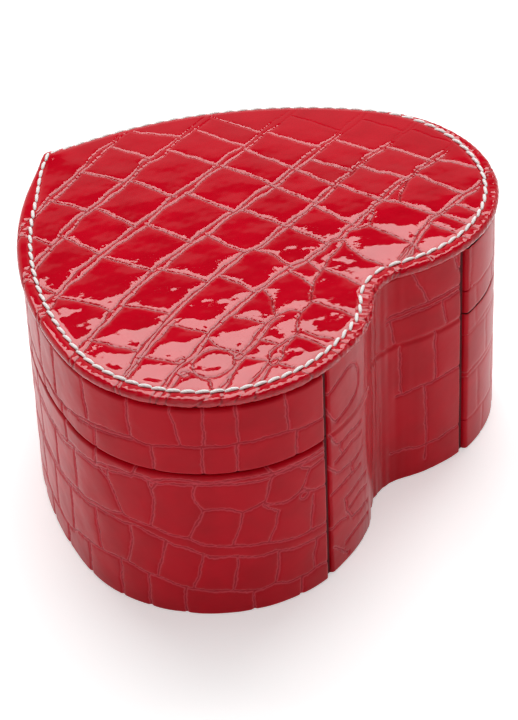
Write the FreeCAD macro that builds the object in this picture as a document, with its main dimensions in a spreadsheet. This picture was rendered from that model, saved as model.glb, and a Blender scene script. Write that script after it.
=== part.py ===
import FreeCAD, Part
import math
import os

import Sketcher
from FreeCAD import Placement, Rotation, Vector

# A heart-shaped wind up music box. Millimetres, +Z up, front tip towards -Y, hinge at the cleft, +Y.
# The origin lies at floor level under the middle of the closed box.

SIZES = {
    # Outline of the heart, seen from above
    "heart_width": 140.0,
    "heart_length": 116.3,
    "lobe_radius": 39.6,
    "side_radius": 108.8,
    "cleft_radius": 14.1,
    # Heights of the case
    "box_height": 68.9,
    "split_height": 44.8,
    "lid_gap": 0.4,
    "key_recess": 12.0,
    "board_thickness": 3.0,
    "movement_room": 19.0,
    "felt_thickness": 0.8,
    # Walls, leather and lining
    "lip_overhang": 0.9,
    "leather_thickness": 1.4,
    "leather_lift": 0.3,
    "strip_thickness": 0.9,
    "wall_thickness": 3.2,
    "liner_thickness": 1.6,
    "collar_height": 5.0,
    "collar_clearance": 0.5,
    "glue_gap": 0.05,
    "seam_gap": 0.8,
    "seam_right": 34.0,
    "seam_left": 26.5,
    "top_cover_thickness": 2.8,
    "top_cover_skin": 1.2,
    "top_cover_rim": 2.4,
    "top_cover_bevel": 1.0,
    "lid_board_thickness": 2.8,
    "lid_panel_thickness": 1.2,
    "mirror_inset": 15.0,
    "mirror_thickness": 1.8,
    "mirror_bevel": 0.6,
    # Tray and ring rolls
    "tray_clearance": 0.3,
    "tray_floor": 1.8,
    "tray_wall": 1.8,
    "tray_wall_height": 8.0,
    "trough_centre": -3.0,
    "ring_rolls": 4.0,
    "ring_roll_diameter": 9.0,
    "ring_roll_length": 58.0,
    "ring_roll_gap": 0.4,
    "support_size": 11.0,
    "support_side_inset": 17.0,
    "support_side_back": 16.0,
    "support_tip_inset": 20.0,
    # Place and frame of the movement
    "barrel_left": 17.0,
    "barrel_back": 2.0,
    "bedplate_thickness": 2.5,
    "bedplate_margin": 1.5,
    "bedplate_corner": 4.0,
    "barrel_seat_height": 1.5,
    "barrel_seat_radius": 5.0,
    "running_gap": 0.3,
    "bearing_clearance": 0.05,
    "screw_radius": 1.5,
    "screw_head_radius": 3.0,
    "screw_head_height": 1.8,
    "screw_slot_width": 0.7,
    "screw_slot_depth": 0.7,
    "screw_edge": 4.5,
    # Spring barrel, arbor and key
    "arbor_radius": 2.0,
    "hook_radius": 2.6,
    "pivot_radius": 1.5,
    "barrel_floor": 1.6,
    "barrel_radius": 10.0,
    "barrel_wall": 0.8,
    "barrel_depth": 10.0,
    "barrel_cap_thickness": 0.8,
    "mainspring_turns": 3.0,
    "mainspring_thickness": 0.35,
    "key_ground_gap": 1.6,
    "key_hub_radius": 3.0,
    "key_hub_height": 5.6,
    "key_stem_radius": 1.6,
    "key_wing_centre": 8.0,
    "key_wing_radius": 3.9,
    "key_wing_hole": 2.1,
    "key_web_height": 4.4,
    "key_thickness": 1.8,
    # Toothed wheels
    "crown_module": 0.6,
    "crown_teeth": 40.0,
    "drive_teeth": 12.0,
    "crown_face": 2.4,
    "drive_face": 2.2,
    "train_module": 0.4,
    "cylinder_gear_teeth": 36.0,
    "governor_pinion_teeth": 10.0,
    "worm_wheel_teeth": 24.0,
    "train_face": 1.5,
    "tooth_share": 0.37,
    "mesh_slack": 0.1,
    # Pinned cylinder and comb
    "cylinder_radius": 6.0,
    "cylinder_start": 17.0,
    "cylinder_arbor_radius": 1.0,
    "pin_height": 0.9,
    "pin_width": 0.45,
    "pins_per_note": 3.0,
    "notes": 18.0,
    "note_pitch": 0.95,
    "comb_thickness": 1.2,
    "comb_tip_gap": 0.1,
    "comb_reach": 21.0,
    "comb_slot_width": 0.3,
    "comb_bass_length": 14.5,
    "comb_treble_length": 9.0,
    "comb_heel": 6.0,
    "comb_screw_radius": 1.1,
    "comb_screw_head_radius": 2.0,
    "comb_screw_head_height": 1.4,
    "bracket_thickness": 2.0,
    "bracket_foot": 7.0,
    "bracket_eye": 3.4,
    # Governor and stop
    "governor_plate": 0.9,
    "governor_floor": 1.2,
    "governor_arbor_radius": 0.7,
    "worm_pitch_radius": 1.6,
    "worm_turns": 3.0,
    "worm_shaft_radius": 0.7,
    "lug_half_width": 1.6,
    "lug_thickness": 1.2,
    "fan_disc_radius": 3.0,
    "fan_disc_thickness": 0.6,
    "fan_radius": 5.0,
    "fan_height": 2.3,
    "fan_wing_thickness": 0.6,
    "stop_pivot_reach": 8.2,
    "stop_pin_radius": 0.8,
    "stop_lever_width": 2.2,
    "stop_lever_thickness": 1.2,
    "stop_lever_boss": 1.9,
    "stop_lever_tail": 9.0,
    "stop_post_thickness": 1.6,
    "plunger_radius": 1.5,
    "plunger_foot_radius": 2.0,
    "plunger_foot_height": 1.0,
    "plunger_cap_radius": 2.2,
    "plunger_cap_height": 1.6,
    "plunger_lever_gap": 0.2,
    "guide_wall": 1.2,
    "guide_height": 6.0,
    "guide_flange": 1.2,
}

doc = FreeCAD.newDocument("MusicBox")
sheet = doc.addObject("Spreadsheet::Sheet", "Sizes")
for row, (alias, number) in enumerate(SIZES.items(), start=1):
    sheet.set("A%d" % row, alias.replace("_", " "))
    sheet.set("B%d" % row, str(number))
    sheet.setAlias("B%d" % row, alias)
doc.recompute()


class Dim:
    """A size worked out from the sheet: its value now, and the expression that keeps it tied to its cells."""

    def __init__(self, value, text):
        self.value = float(value)
        self.text = text

    def __add__(self, other):
        other = dim(other)
        return Dim(self.value + other.value, "(%s + %s)" % (self.text, other.text))

    def __sub__(self, other):
        other = dim(other)
        return Dim(self.value - other.value, "(%s - %s)" % (self.text, other.text))

    def __mul__(self, other):
        other = dim(other)
        return Dim(self.value * other.value, "(%s * %s)" % (self.text, other.text))

    def __truediv__(self, other):
        other = dim(other)
        return Dim(self.value / other.value, "(%s / %s)" % (self.text, other.text))

    def __radd__(self, other):
        return dim(other) + self

    def __rsub__(self, other):
        return dim(other) - self

    def __rmul__(self, other):
        return dim(other) * self

    def __rtruediv__(self, other):
        return dim(other) / self

    def __neg__(self):
        return Dim(-self.value, "(-%s)" % self.text)


def dim(number):
    """A plain number as a Dim, and a Dim as it is."""
    return number if isinstance(number, Dim) else Dim(number, repr(float(number)))


def root(square):
    """The square root of a Dim."""
    return Dim(math.sqrt(square.value), "sqrt(%s)" % square.text)


class Sizes:
    """Gives each cell of the sheet as a Dim under its alias."""

    def __getattr__(self, alias):
        return Dim(sheet.get(alias), "Sizes." + alias)


S = Sizes()

# Levels of the case, from the floor up
board_under = S.key_recess
board_top = board_under + S.board_thickness
tray_under = board_top + S.movement_room
tray_floor_top = tray_under + S.tray_floor
base_top = S.split_height - S.lid_gap / 2
lid_under = S.split_height + S.lid_gap / 2
collar_top = S.split_height + S.collar_height
top_cover_under = S.box_height - S.top_cover_thickness
lid_board_under = top_cover_under - S.lid_board_thickness
lid_panel_under = lid_board_under - S.lid_panel_thickness
mirror_under = lid_panel_under - S.mirror_thickness

# Insets of the case's outlines from the edge of the top cover
cover_inset = S.lip_overhang
wall_inset = cover_inset + S.leather_thickness
strip_inset = wall_inset - S.strip_thickness
base_inner = wall_inset + S.wall_thickness
lid_inner = base_inner - S.collar_clearance
liner_inner = base_inner + S.liner_thickness
tray_inset = liner_inner + S.tray_clearance
tray_inner = tray_inset + S.tray_wall

# Toothed wheels: pitch radii, and the heights of the teeth above and below them
crown_pitch = S.crown_module * S.crown_teeth / 2
crown_inner = crown_pitch - S.crown_face / 2
crown_outer = crown_pitch + S.crown_face / 2
drive_pitch = S.crown_module * S.drive_teeth / 2
gear_pitch = S.train_module * S.cylinder_gear_teeth / 2
pinion_pitch = S.train_module * S.governor_pinion_teeth / 2
worm_wheel_pitch = S.train_module * S.worm_wheel_teeth / 2
ADDENDUM = 1.0
DEDENDUM = 1.25
FAN_WINGS = 2
# Turns of the worm's thread below the middle of its wheel
THREAD_BELOW = 1.5

# Levels of the movement
bed_top = board_top + S.bedplate_thickness
barrel_under = bed_top + S.barrel_seat_height + S.running_gap
crown_root = barrel_under + S.barrel_floor
barrel_top = crown_root + S.barrel_depth
cylinder_axis = crown_root + DEDENDUM * S.crown_module + drive_pitch + S.mesh_slack

# Stations of the movement along the cylinder, from the barrel's axis towards +X
drive_start = crown_pitch - S.drive_face / 2
bracket_end = S.cylinder_start - 2 * S.running_gap
bracket_start = bracket_end - S.bracket_thickness
cylinder_length = S.notes * S.note_pitch + 4 * S.running_gap
gear_start = S.cylinder_start + cylinder_length + 3 * S.running_gap
inner_plate = gear_start + S.train_face + 2 * S.running_gap
inner_plate_end = inner_plate + S.governor_plate
worm_tip = S.worm_pitch_radius + ADDENDUM * S.train_module
worm_root = S.worm_pitch_radius - DEDENDUM * S.train_module
worm_station = inner_plate_end + S.running_gap + worm_tip
worm_wheel_start = worm_station - S.train_face / 2
outer_plate = worm_station + worm_tip + S.running_gap
outer_plate_end = outer_plate + S.governor_plate

# Places across the cylinder, from its axis towards +Y, and the governor's levels
governor_place = gear_pitch + pinion_pitch + S.mesh_slack
worm_place = governor_place + worm_wheel_pitch + S.worm_pitch_radius + S.mesh_slack
worm_pitch_height = math.pi * S.train_module
lug_under = cylinder_axis + worm_pitch_height * (S.worm_turns - THREAD_BELOW + 0.5) + 2 * S.running_gap
lug_top = lug_under + S.lug_thickness
fan_under = lug_top + S.running_gap
fan_disc_top = fan_under + S.fan_disc_thickness
stop_pivot = worm_place + S.stop_pivot_reach
stop_level = fan_under - S.running_gap - S.stop_lever_thickness / 2
stop_nose = worm_place + S.lug_half_width + S.running_gap
plunger_place = stop_pivot + S.stop_lever_tail - S.plunger_foot_radius / 2
plunger_foot_under = stop_level + S.stop_lever_thickness / 2 + S.plunger_lever_gap
plunger_top = mirror_under - S.running_gap

# Edges of the bedplate around the barrel's axis, and the comb's place on it
comb_tip = S.cylinder_radius + S.pin_height + S.comb_tip_gap
comb_back = comb_tip + S.comb_reach
comb_start = S.cylinder_start + 2 * S.running_gap
comb_width = S.notes * S.note_pitch
comb_under = cylinder_axis - S.comb_thickness / 2
comb_top = cylinder_axis + S.comb_thickness / 2
bed_left = crown_outer + S.bedplate_margin
bed_right = outer_plate_end + S.bedplate_margin
bed_front = comb_back + S.bedplate_margin
bed_back = stop_pivot + S.stop_lever_boss + S.bedplate_margin
barrel_x = -S.barrel_left
barrel_y = S.barrel_back

nodes = []


def keep(piece):
    """Lists a finished piece for writing under its label."""
    nodes.append(piece)
    return piece


def keep_group(name, pieces):
    """Lists several equal pieces as one."""
    group = doc.addObject("Part::Compound", name)
    group.Links = pieces
    return keep(group)


def bind(obj, **sizes):
    """Ties properties of an object to the sheet."""
    for name, size in sizes.items():
        obj.setExpression(name.replace("__", "."), dim(size).text)
    return obj


def new_body(name):
    body = doc.addObject("PartDesign::Body", name + "_body")
    body.Label = name
    return body


def set_place(obj, x=0.0, y=0.0, z=0.0, turn=None):
    """Puts an object at x, y, z, after an optional turn of its axes."""
    obj.Placement = Placement(Vector(dim(x).value, dim(y).value, dim(z).value), turn or Rotation())
    return bind(obj, Placement__Base__x=x, Placement__Base__y=y, Placement__Base__z=z)


# Turns a piece built along +Z to lie along +X, its own +X pointing down
ALONG_X = Rotation(Vector(0, 1, 0), 90)


def sketch_on(body, name, plane="XY_Plane", height=0.0, turn=0.0):
    """A sketch on one of the body's own planes, lifted along the plane's normal and turned in it."""
    sketch = body.newObject("Sketcher::SketchObject", name)
    support = [f for f in body.Origin.OriginFeatures if f.Role == plane][0]
    sketch.AttachmentSupport = [(support, "")]
    sketch.MapMode = "FlatFace"
    lift = Vector(0, 0, dim(height).value)
    sketch.AttachmentOffset = Placement(lift, Rotation(Vector(0, 0, 1), dim(turn).value))
    bind(sketch, AttachmentOffset__Base__z=height)
    if dim(turn).value:
        bind(sketch, AttachmentOffset__Rotation__Angle=turn)
    return sketch


def measure(sketch, kind, place, size):
    """A dimension of a sketch, tied to the sheet."""
    index = sketch.addConstraint(Sketcher.Constraint(kind, *place, dim(size).value))
    sketch.setExpression("Constraints[%d]" % index, dim(size).text)


def fix_point(sketch, edge, end, x, y):
    """Fixes a point of a sketch at x, y from the sketch's origin."""
    for kind, size, axis in (("DistanceX", dim(x), -2), ("DistanceY", dim(y), -1)):
        if size.value > 0:
            measure(sketch, kind, (-1, 1, edge, end), size)
        elif size.value < 0:
            measure(sketch, kind, (edge, end, -1, 1), -size)
        else:
            sketch.addConstraint(Sketcher.Constraint("PointOnObject", edge, end, axis))


def polygon(sketch, points):
    """A closed outline of straight lines through the points."""
    spots = [Vector(dim(x).value, dim(y).value, 0) for x, y in points]
    first = sketch.GeometryCount
    count = len(spots)
    for i in range(count):
        sketch.addGeometry(Part.LineSegment(spots[i], spots[(i + 1) % count]), False)
    for i in range(count):
        sketch.addConstraint(Sketcher.Constraint("Coincident", first + i, 2, first + (i + 1) % count, 1))
    for i, (x, y) in enumerate(points):
        fix_point(sketch, first + i, 1, x, y)


def rectangle(sketch, left, low, right, high):
    polygon(sketch, [(left, low), (right, low), (right, high), (left, high)])


def circle(sketch, x, y, radius):
    centre = Vector(dim(x).value, dim(y).value, 0)
    edge = sketch.addGeometry(Part.Circle(centre, Vector(0, 0, 1), dim(radius).value), False)
    measure(sketch, "Radius", (edge,), radius)
    fix_point(sketch, edge, 3, x, y)


def angle_to(centre, spot):
    return math.atan2(spot.y - centre.y, spot.x - centre.x)


def heart(sketch, inset):
    """A heart of five tangent arcs, lying inset inside the edge of the top cover.

    Two lobe arcs stand either side of the cleft arc, and two long side arcs run from the lobes to the
    tip. An inset heart keeps the centres and takes the inset from the convex radii.
    """
    inset = dim(inset)
    lobe_x = S.heart_width / 2 - S.lobe_radius
    lobe_y = S.heart_length / 2 - S.lobe_radius
    span = S.lobe_radius + S.cleft_radius
    cleft_y = lobe_y + root(span * span - lobe_x * lobe_x)
    right = Vector(lobe_x.value, lobe_y.value, 0)
    left = Vector(-lobe_x.value, lobe_y.value, 0)
    cleft = Vector(0, cleft_y.value, 0)
    tip = Vector(0, -S.heart_length.value / 2, 0)
    # The side arc's centre lies at one side radius from the tip and touches the lobe from inside
    reach = (right - tip).Length
    near = S.side_radius.value - S.lobe_radius.value
    along = (S.side_radius.value ** 2 - near ** 2 + reach ** 2) / (2 * reach)
    across = math.sqrt(S.side_radius.value ** 2 - along ** 2)
    way = (right - tip) / reach
    side_right = tip + way * along + Vector(-way.y, way.x, 0) * across
    side_left = Vector(-side_right.x, side_right.y, 0)
    side = S.side_radius.value - inset.value
    inset_tip = Vector(0, side_right.y - math.sqrt(side ** 2 - side_right.x ** 2), 0)
    lobe_start = angle_to(side_right, right)
    lobe_end = angle_to(right, cleft)
    arcs = (
        (side_right, side, angle_to(side_right, inset_tip), lobe_start),
        (right, S.lobe_radius.value - inset.value, lobe_start, lobe_end),
        (cleft, S.cleft_radius.value + inset.value, angle_to(cleft, left), angle_to(cleft, right)),
        (left, S.lobe_radius.value - inset.value, math.pi - lobe_end, math.pi - lobe_start),
        (side_left, side, math.pi - lobe_start, angle_to(side_left, inset_tip)),
    )
    up = Vector(0, 0, 1)
    first = sketch.GeometryCount
    for centre, radius, begin, end in arcs:
        sketch.addGeometry(Part.ArcOfCircle(Part.Circle(centre, up, radius), begin, end), False)
    s_right, l_right, c_mid, l_left, s_left = range(first, first + 5)
    point = sketch.addGeometry(Part.Point(tip), True)
    fix_point(sketch, point, 1, 0, -S.heart_length / 2)
    fix_point(sketch, l_right, 3, lobe_x, lobe_y)
    fix_point(sketch, l_left, 3, -lobe_x, lobe_y)
    measure(sketch, "Radius", (l_right,), S.lobe_radius - inset)
    measure(sketch, "Radius", (l_left,), S.lobe_radius - inset)
    measure(sketch, "Radius", (c_mid,), S.cleft_radius + inset)
    measure(sketch, "Radius", (s_right,), S.side_radius - inset)
    measure(sketch, "Radius", (s_left,), S.side_radius - inset)
    measure(sketch, "Distance", (s_right, 3, point, 1), S.side_radius)
    for kind in (
        ("Tangent", s_right, 2, l_right, 1),
        ("Tangent", l_right, 2, c_mid, 2),
        ("Tangent", c_mid, 1, l_left, 1),
        ("Tangent", l_left, 2, s_left, 1),
        ("PointOnObject", s_right, 1, -2),
        ("Coincident", s_left, 2, s_right, 1),
    ):
        sketch.addConstraint(Sketcher.Constraint(*kind))


def pad(body, sketch, length, symmetric=False):
    feature = body.newObject("PartDesign::Pad", sketch.Name + "_pad")
    feature.Profile = sketch
    feature.SideType = "Symmetric" if symmetric else "One side"
    feature.Length = dim(length).value
    return bind(feature, Length=length)


def cut_through(body, sketch):
    """Cuts a sketch's shape right through the body, both ways."""
    feature = body.newObject("PartDesign::Pocket", sketch.Name + "_cut")
    feature.Profile = sketch
    feature.Type = "ThroughAll"
    feature.SideType = "Symmetric"
    return feature


def cut_up(body, sketch, depth):
    """Cuts a sketch's shape to a depth, towards the sketch's normal."""
    feature = body.newObject("PartDesign::Pocket", sketch.Name + "_cut")
    feature.Profile = sketch
    feature.Reversed = True
    feature.Length = dim(depth).value
    return bind(feature, Length=depth)


def picked(feature, wanted):
    """The names of a feature's edges that a test picks out."""
    doc.recompute()
    return ["Edge%d" % (i + 1) for i, edge in enumerate(feature.Shape.Edges) if wanted(edge)]


def fillet(body, base, radius, wanted):
    feature = body.newObject("PartDesign::Fillet", base.Name + "_round")
    feature.Base = (base, picked(base, wanted))
    feature.Radius = dim(radius).value
    return bind(feature, Radius=radius)


def chamfer(body, base, size, wanted):
    feature = body.newObject("PartDesign::Chamfer", base.Name + "_bevel")
    feature.Base = (base, picked(base, wanted))
    feature.Size = dim(size).value
    return bind(feature, Size=size)


def upright(edge):
    box = edge.BoundBox
    return box.ZLength > 0.01 and box.XLength < 1e-4 and box.YLength < 1e-4


def turned(name, profile):
    """A body turned about its own Z axis from a closed profile of (radius, height) points."""
    body = new_body(name)
    sketch = sketch_on(body, name + "_profile", "XZ_Plane")
    polygon(sketch, profile)
    feature = body.newObject("PartDesign::Revolution", name + "_turned")
    feature.Profile = sketch
    feature.ReferenceAxis = (sketch, ["V_Axis"])
    feature.Angle = 360
    return body


def around(body, feature, count):
    """Repeats a feature evenly about the body's Z axis."""
    pattern = body.newObject("PartDesign::PolarPattern", feature.Name + "_around")
    pattern.Originals = [feature]
    pattern.Axis = ([f for f in body.Origin.OriginFeatures if f.Role == "Z_Axis"][0], [""])
    pattern.Angle = 360
    pattern.Occurrences = int(round(dim(count).value))
    bind(pattern, Occurrences=count)
    body.Tip = pattern
    return pattern


def heart_plate(name, inset, low, high, holes=()):
    """A flat heart between two heights, with round holes given as (x, y, radius)."""
    body = new_body(name)
    sketch = sketch_on(body, name + "_outline", height=low)
    heart(sketch, inset)
    for x, y, radius in holes:
        circle(sketch, x, y, radius)
    pad(body, sketch, high - low)
    return body


def heart_ring(name, outer, inner, low, high):
    """An upright wall that follows the heart."""
    body = new_body(name)
    sketch = sketch_on(body, name + "_outline", height=low)
    heart(sketch, outer)
    heart(sketch, inner)
    pad(body, sketch, high - low)
    return body


def side_cover(name, low, high):
    """Side leather: a band round the heart with its two ends turned in beside the hinge strip."""
    body = heart_ring(name, cover_inset, wall_inset - S.glue_gap, low, high)
    window = sketch_on(body, name + "_window")
    rectangle(window, -(S.seam_left + S.seam_gap / 2), 0, S.seam_right + S.seam_gap / 2, S.heart_length)
    cut_through(body, window)
    return body


def hinge_strip(name, low, high):
    """Hinge leather: a thin band through the cleft, between the ends of the side leather."""
    body = heart_ring(name, strip_inset, wall_inset - S.glue_gap, low, high)
    frame = sketch_on(body, name + "_keep")
    rectangle(frame, -S.heart_width, -S.heart_length, S.heart_width, S.heart_length)
    beyond = S.heart_length / 2 + S.seam_gap
    rectangle(frame, -(S.seam_left - S.seam_gap / 2), 0, S.seam_right - S.seam_gap / 2, beyond)
    cut_through(body, frame)
    return body


# Base of the case
screw_spots = (
    (-bed_left + S.screw_edge, -bed_front + S.screw_edge),
    (bed_right - S.screw_edge, -bed_front + S.screw_edge),
    (-bed_left + S.screw_edge, bed_back - S.screw_edge),
)
board_holes = [(barrel_x + x, barrel_y + y, S.screw_radius + 2 * S.bearing_clearance) for x, y in screw_spots]
felt_holes = [(barrel_x + x, barrel_y + y, S.screw_head_radius + S.running_gap) for x, y in screw_spots]

keep(heart_ring("base_wall", wall_inset, base_inner, 0, base_top))
keep(heart_plate("bottom_board", base_inner + S.glue_gap, board_under, board_top,
                  board_holes + [(barrel_x, barrel_y, S.arbor_radius + S.running_gap)]))
keep(heart_plate("bottom_felt", base_inner + S.glue_gap, board_under - S.felt_thickness, board_under,
                  felt_holes + [(barrel_x, barrel_y, S.key_hub_radius + S.running_gap)]))
keep(side_cover("base_side_cover", S.leather_lift, base_top))
keep(hinge_strip("hinge_strip_base", S.leather_lift, S.split_height - S.glue_gap))
keep(heart_ring("base_liner", base_inner + S.glue_gap, liner_inner, board_top, collar_top))

# Tray supports: blocks glued to the board under the lobes and the tip
support_half = S.support_size / 2
side_support = S.heart_width / 2 - S.support_side_inset
supports = []
for place_x, place_y in (
    (-side_support, S.support_side_back),
    (side_support, S.support_side_back),
    (dim(0), -S.heart_length / 2 + S.support_tip_inset),
):
    block = doc.addObject("Part::Box", "tray_support")
    bind(block, Length=S.support_size, Width=S.support_size, Height=S.movement_room)
    set_place(block, place_x - support_half, place_y - support_half, board_top)
    supports.append(block)
keep_group("tray_supports", supports)

# Tray: a false floor with a rim, a trough for the ring rolls and low dividers
plunger_x = barrel_x + worm_station
plunger_y = barrel_y + plunger_place
bush_radius = S.plunger_radius + S.bearing_clearance + S.guide_wall
trough_half_x = S.ring_roll_length / 2 + S.ring_roll_gap
trough_half_y = (S.ring_rolls * S.ring_roll_diameter + (S.ring_rolls + 1) * S.ring_roll_gap) / 2
wall_top = tray_floor_top + S.tray_wall_height


def tray():
    body = new_body("tray")
    floor = sketch_on(body, "tray_floor", height=tray_under)
    heart(floor, tray_inset)
    circle(floor, plunger_x, plunger_y, bush_radius + S.glue_gap)
    pad(body, floor, S.tray_floor)
    rim = sketch_on(body, "tray_rim", height=tray_under)
    heart(rim, tray_inset)
    heart(rim, tray_inner)
    pad(body, rim, wall_top - tray_under)
    trough = sketch_on(body, "tray_trough", height=tray_under)
    outer_x = trough_half_x + S.tray_wall
    outer_y = trough_half_y + S.tray_wall
    rectangle(trough, -outer_x, S.trough_centre - outer_y, outer_x, S.trough_centre + outer_y)
    rectangle(trough, -trough_half_x, S.trough_centre - trough_half_y,
              trough_half_x, S.trough_centre + trough_half_y)
    pad(body, trough, wall_top - tray_under)
    dividers = sketch_on(body, "tray_dividers", height=tray_under)
    half = S.tray_wall / 2
    rear = S.trough_centre + trough_half_y + half
    rectangle(dividers, -half, rear, half, S.heart_length / 2)
    middle = S.trough_centre + trough_half_y - S.tray_wall
    for side in (-1, 1):
        near = side * (trough_half_x + half)
        far = side * (S.heart_width / 2)
        rectangle(dividers, near, middle - half, far, middle + half)
    pad(body, dividers, wall_top - tray_under)
    trim = sketch_on(body, "tray_trim")
    rectangle(trim, -S.heart_width, -S.heart_length, S.heart_width, S.heart_length)
    heart(trim, tray_inset)
    cut_through(body, trim)
    return body


keep(tray())

rolls = []
for number in range(int(S.ring_rolls.value)):
    roll_y = S.trough_centre - trough_half_y + S.ring_roll_gap + S.ring_roll_diameter / 2
    roll_y = roll_y + number * (S.ring_roll_diameter + S.ring_roll_gap)
    body = new_body("ring_roll")
    section = sketch_on(body, "ring_roll_section%d" % number)
    circle(section, 0, 0, S.ring_roll_diameter / 2)
    pad(body, section, S.ring_roll_length)
    set_place(body, -S.ring_roll_length / 2, roll_y,
              tray_floor_top + S.ring_roll_diameter / 2 + S.glue_gap, ALONG_X)
    rolls.append(body)
keep_group("ring_rolls", rolls)

# Lid of the case
keep(heart_ring("lid_wall", wall_inset, lid_inner, lid_under, lid_board_under))
keep(heart_plate("lid_top_board", wall_inset, lid_board_under, top_cover_under))
keep(side_cover("lid_side_cover", lid_under, top_cover_under))
keep(hinge_strip("hinge_strip_lid", S.split_height + S.glue_gap, top_cover_under))


def lid_top_cover():
    body = heart_plate("lid_top_cover", 0, top_cover_under, S.box_height)
    hollow = sketch_on(body, "lid_top_cover_hollow", height=top_cover_under)
    heart(hollow, S.top_cover_rim)
    base = cut_up(body, hollow, S.top_cover_thickness - S.top_cover_skin)
    chamfer(body, base, S.top_cover_bevel, lambda edge: edge.BoundBox.ZMin > S.box_height.value - 1e-4)
    return body


def lid_liner():
    body = heart_plate("lid_liner", lid_inner + S.glue_gap, lid_panel_under, lid_board_under)
    band = sketch_on(body, "lid_liner_band", height=collar_top + 2 * S.running_gap)
    heart(band, lid_inner + S.glue_gap)
    heart(band, lid_inner + S.glue_gap + S.liner_thickness)
    pad(body, band, lid_panel_under - collar_top - S.running_gap)
    return body


def mirror():
    body = heart_plate("mirror", S.mirror_inset, mirror_under, lid_panel_under)
    chamfer(body, body.Tip, S.mirror_bevel, lambda edge: edge.BoundBox.ZMax < mirror_under.value + 1e-4)
    return body


keep(lid_top_cover())
keep(heart_plate("lid_padding", S.top_cover_rim + S.glue_gap, top_cover_under,
                  S.box_height - S.top_cover_skin - S.glue_gap))
keep(lid_liner())
keep(mirror())

# Fixed pieces of the movement, all placed from the barrel's axis


def at_barrel(body, x=0.0, y=0.0):
    """Places a body of the movement by its distance from the barrel's axis."""
    return set_place(body, barrel_x + x, barrel_y + y)


def on_cylinder_axis(body, y=0.0):
    """Lays a body built along +Z on an axis beside the cylinder, its Z counted from the barrel's axis."""
    return set_place(body, barrel_x, barrel_y + y, cylinder_axis, ALONG_X)


def bedplate():
    body = new_body("bedplate")
    outline = sketch_on(body, "bedplate_outline", height=board_top)
    rectangle(outline, -bed_left, -bed_front, bed_right, bed_back)
    plate = pad(body, outline, S.bedplate_thickness)
    fillet(body, plate, S.bedplate_corner, upright)
    seat = sketch_on(body, "bedplate_seat", height=board_top)
    circle(seat, 0, 0, S.barrel_seat_radius)
    pad(body, seat, S.bedplate_thickness + S.barrel_seat_height)
    holes = sketch_on(body, "bedplate_holes")
    circle(holes, 0, 0, S.arbor_radius + S.bearing_clearance)
    for x, y in screw_spots:
        circle(holes, x, y, S.screw_radius + S.bearing_clearance)
    cut_through(body, holes)
    return at_barrel(body)


def screw(name, radius, length, head_radius, head_height):
    """A cheese-head screw standing on its tip, with a driver slot across its head."""
    top = length + head_height
    body = turned(name, [(0, 0), (radius, 0), (radius, length),
                         (head_radius, length), (head_radius, top), (0, top)])
    slot = sketch_on(body, name + "_slot", height=top - S.screw_slot_depth)
    half = S.screw_slot_width / 2
    rectangle(slot, -2 * head_radius, -half, 2 * head_radius, half)
    cut_up(body, slot, 2 * S.screw_slot_depth)
    return body


def comb():
    body = new_body("comb")
    outline = sketch_on(body, "comb_outline", height=comb_under)
    rectangle(outline, comb_start, -comb_back, comb_start + comb_width, -comb_tip)
    for x, y in comb_screw_spots:
        circle(outline, x, y, S.comb_screw_radius + S.bearing_clearance)
    pad(body, outline, S.comb_thickness)
    # The slots keep their length and step towards the treble end, so that their roots lie on a slant
    rise = (S.comb_bass_length - S.comb_treble_length) / (S.notes - 2)
    slot = sketch_on(body, "comb_slot")
    centre = comb_start + S.note_pitch
    slot_root = -(comb_tip + S.comb_bass_length)
    rectangle(slot, centre - S.comb_slot_width / 2, slot_root,
              centre + S.comb_slot_width / 2, slot_root + 2 * S.comb_bass_length)
    start = Vector(centre.value, slot_root.value, 0)
    step = Vector(S.note_pitch.value, rise.value, 0)
    way = slot.addGeometry(Part.LineSegment(start, start + step), True)
    fix_point(slot, way, 1, centre, slot_root)
    fix_point(slot, way, 2, centre + S.note_pitch, slot_root + rise)
    first = cut_through(body, slot)
    row = body.newObject("PartDesign::LinearPattern", "comb_slots")
    row.Originals = [first]
    row.Direction = (slot, ["Axis0"])
    row.Occurrences = int(S.notes.value) - 1
    run = (S.notes - 2) * root(S.note_pitch * S.note_pitch + rise * rise)
    row.Length = run.value
    bind(row, Occurrences=S.notes - 1, Length=run)
    body.Tip = row
    return at_barrel(body)


def comb_base():
    body = new_body("comb_base")
    outline = sketch_on(body, "comb_base_outline", height=bed_top)
    rectangle(outline, comb_start, -comb_back, comb_start + comb_width, -(comb_back - S.comb_heel))
    for x, y in comb_screw_spots:
        circle(outline, x, y, S.comb_screw_radius + S.bearing_clearance)
    pad(body, outline, comb_under - bed_top)
    return at_barrel(body)


def cylinder_bracket():
    """The cylinder's bearing beside the barrel: a tapered plate with a round eye."""
    body = new_body("cylinder_bracket")
    plate = sketch_on(body, "bracket_plate", "YZ_Plane", bracket_start)
    polygon(plate, [(-S.bracket_foot, bed_top), (S.bracket_foot, bed_top),
                    (S.bracket_eye, cylinder_axis), (-S.bracket_eye, cylinder_axis)])
    pad(body, plate, S.bracket_thickness)
    eye = sketch_on(body, "bracket_eye", "YZ_Plane", bracket_start)
    circle(eye, 0, cylinder_axis, S.bracket_eye)
    pad(body, eye, S.bracket_thickness)
    bore = sketch_on(body, "bracket_bore", "YZ_Plane")
    circle(bore, 0, cylinder_axis, S.cylinder_arbor_radius + S.bearing_clearance)
    cut_through(body, bore)
    return at_barrel(body)


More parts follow.
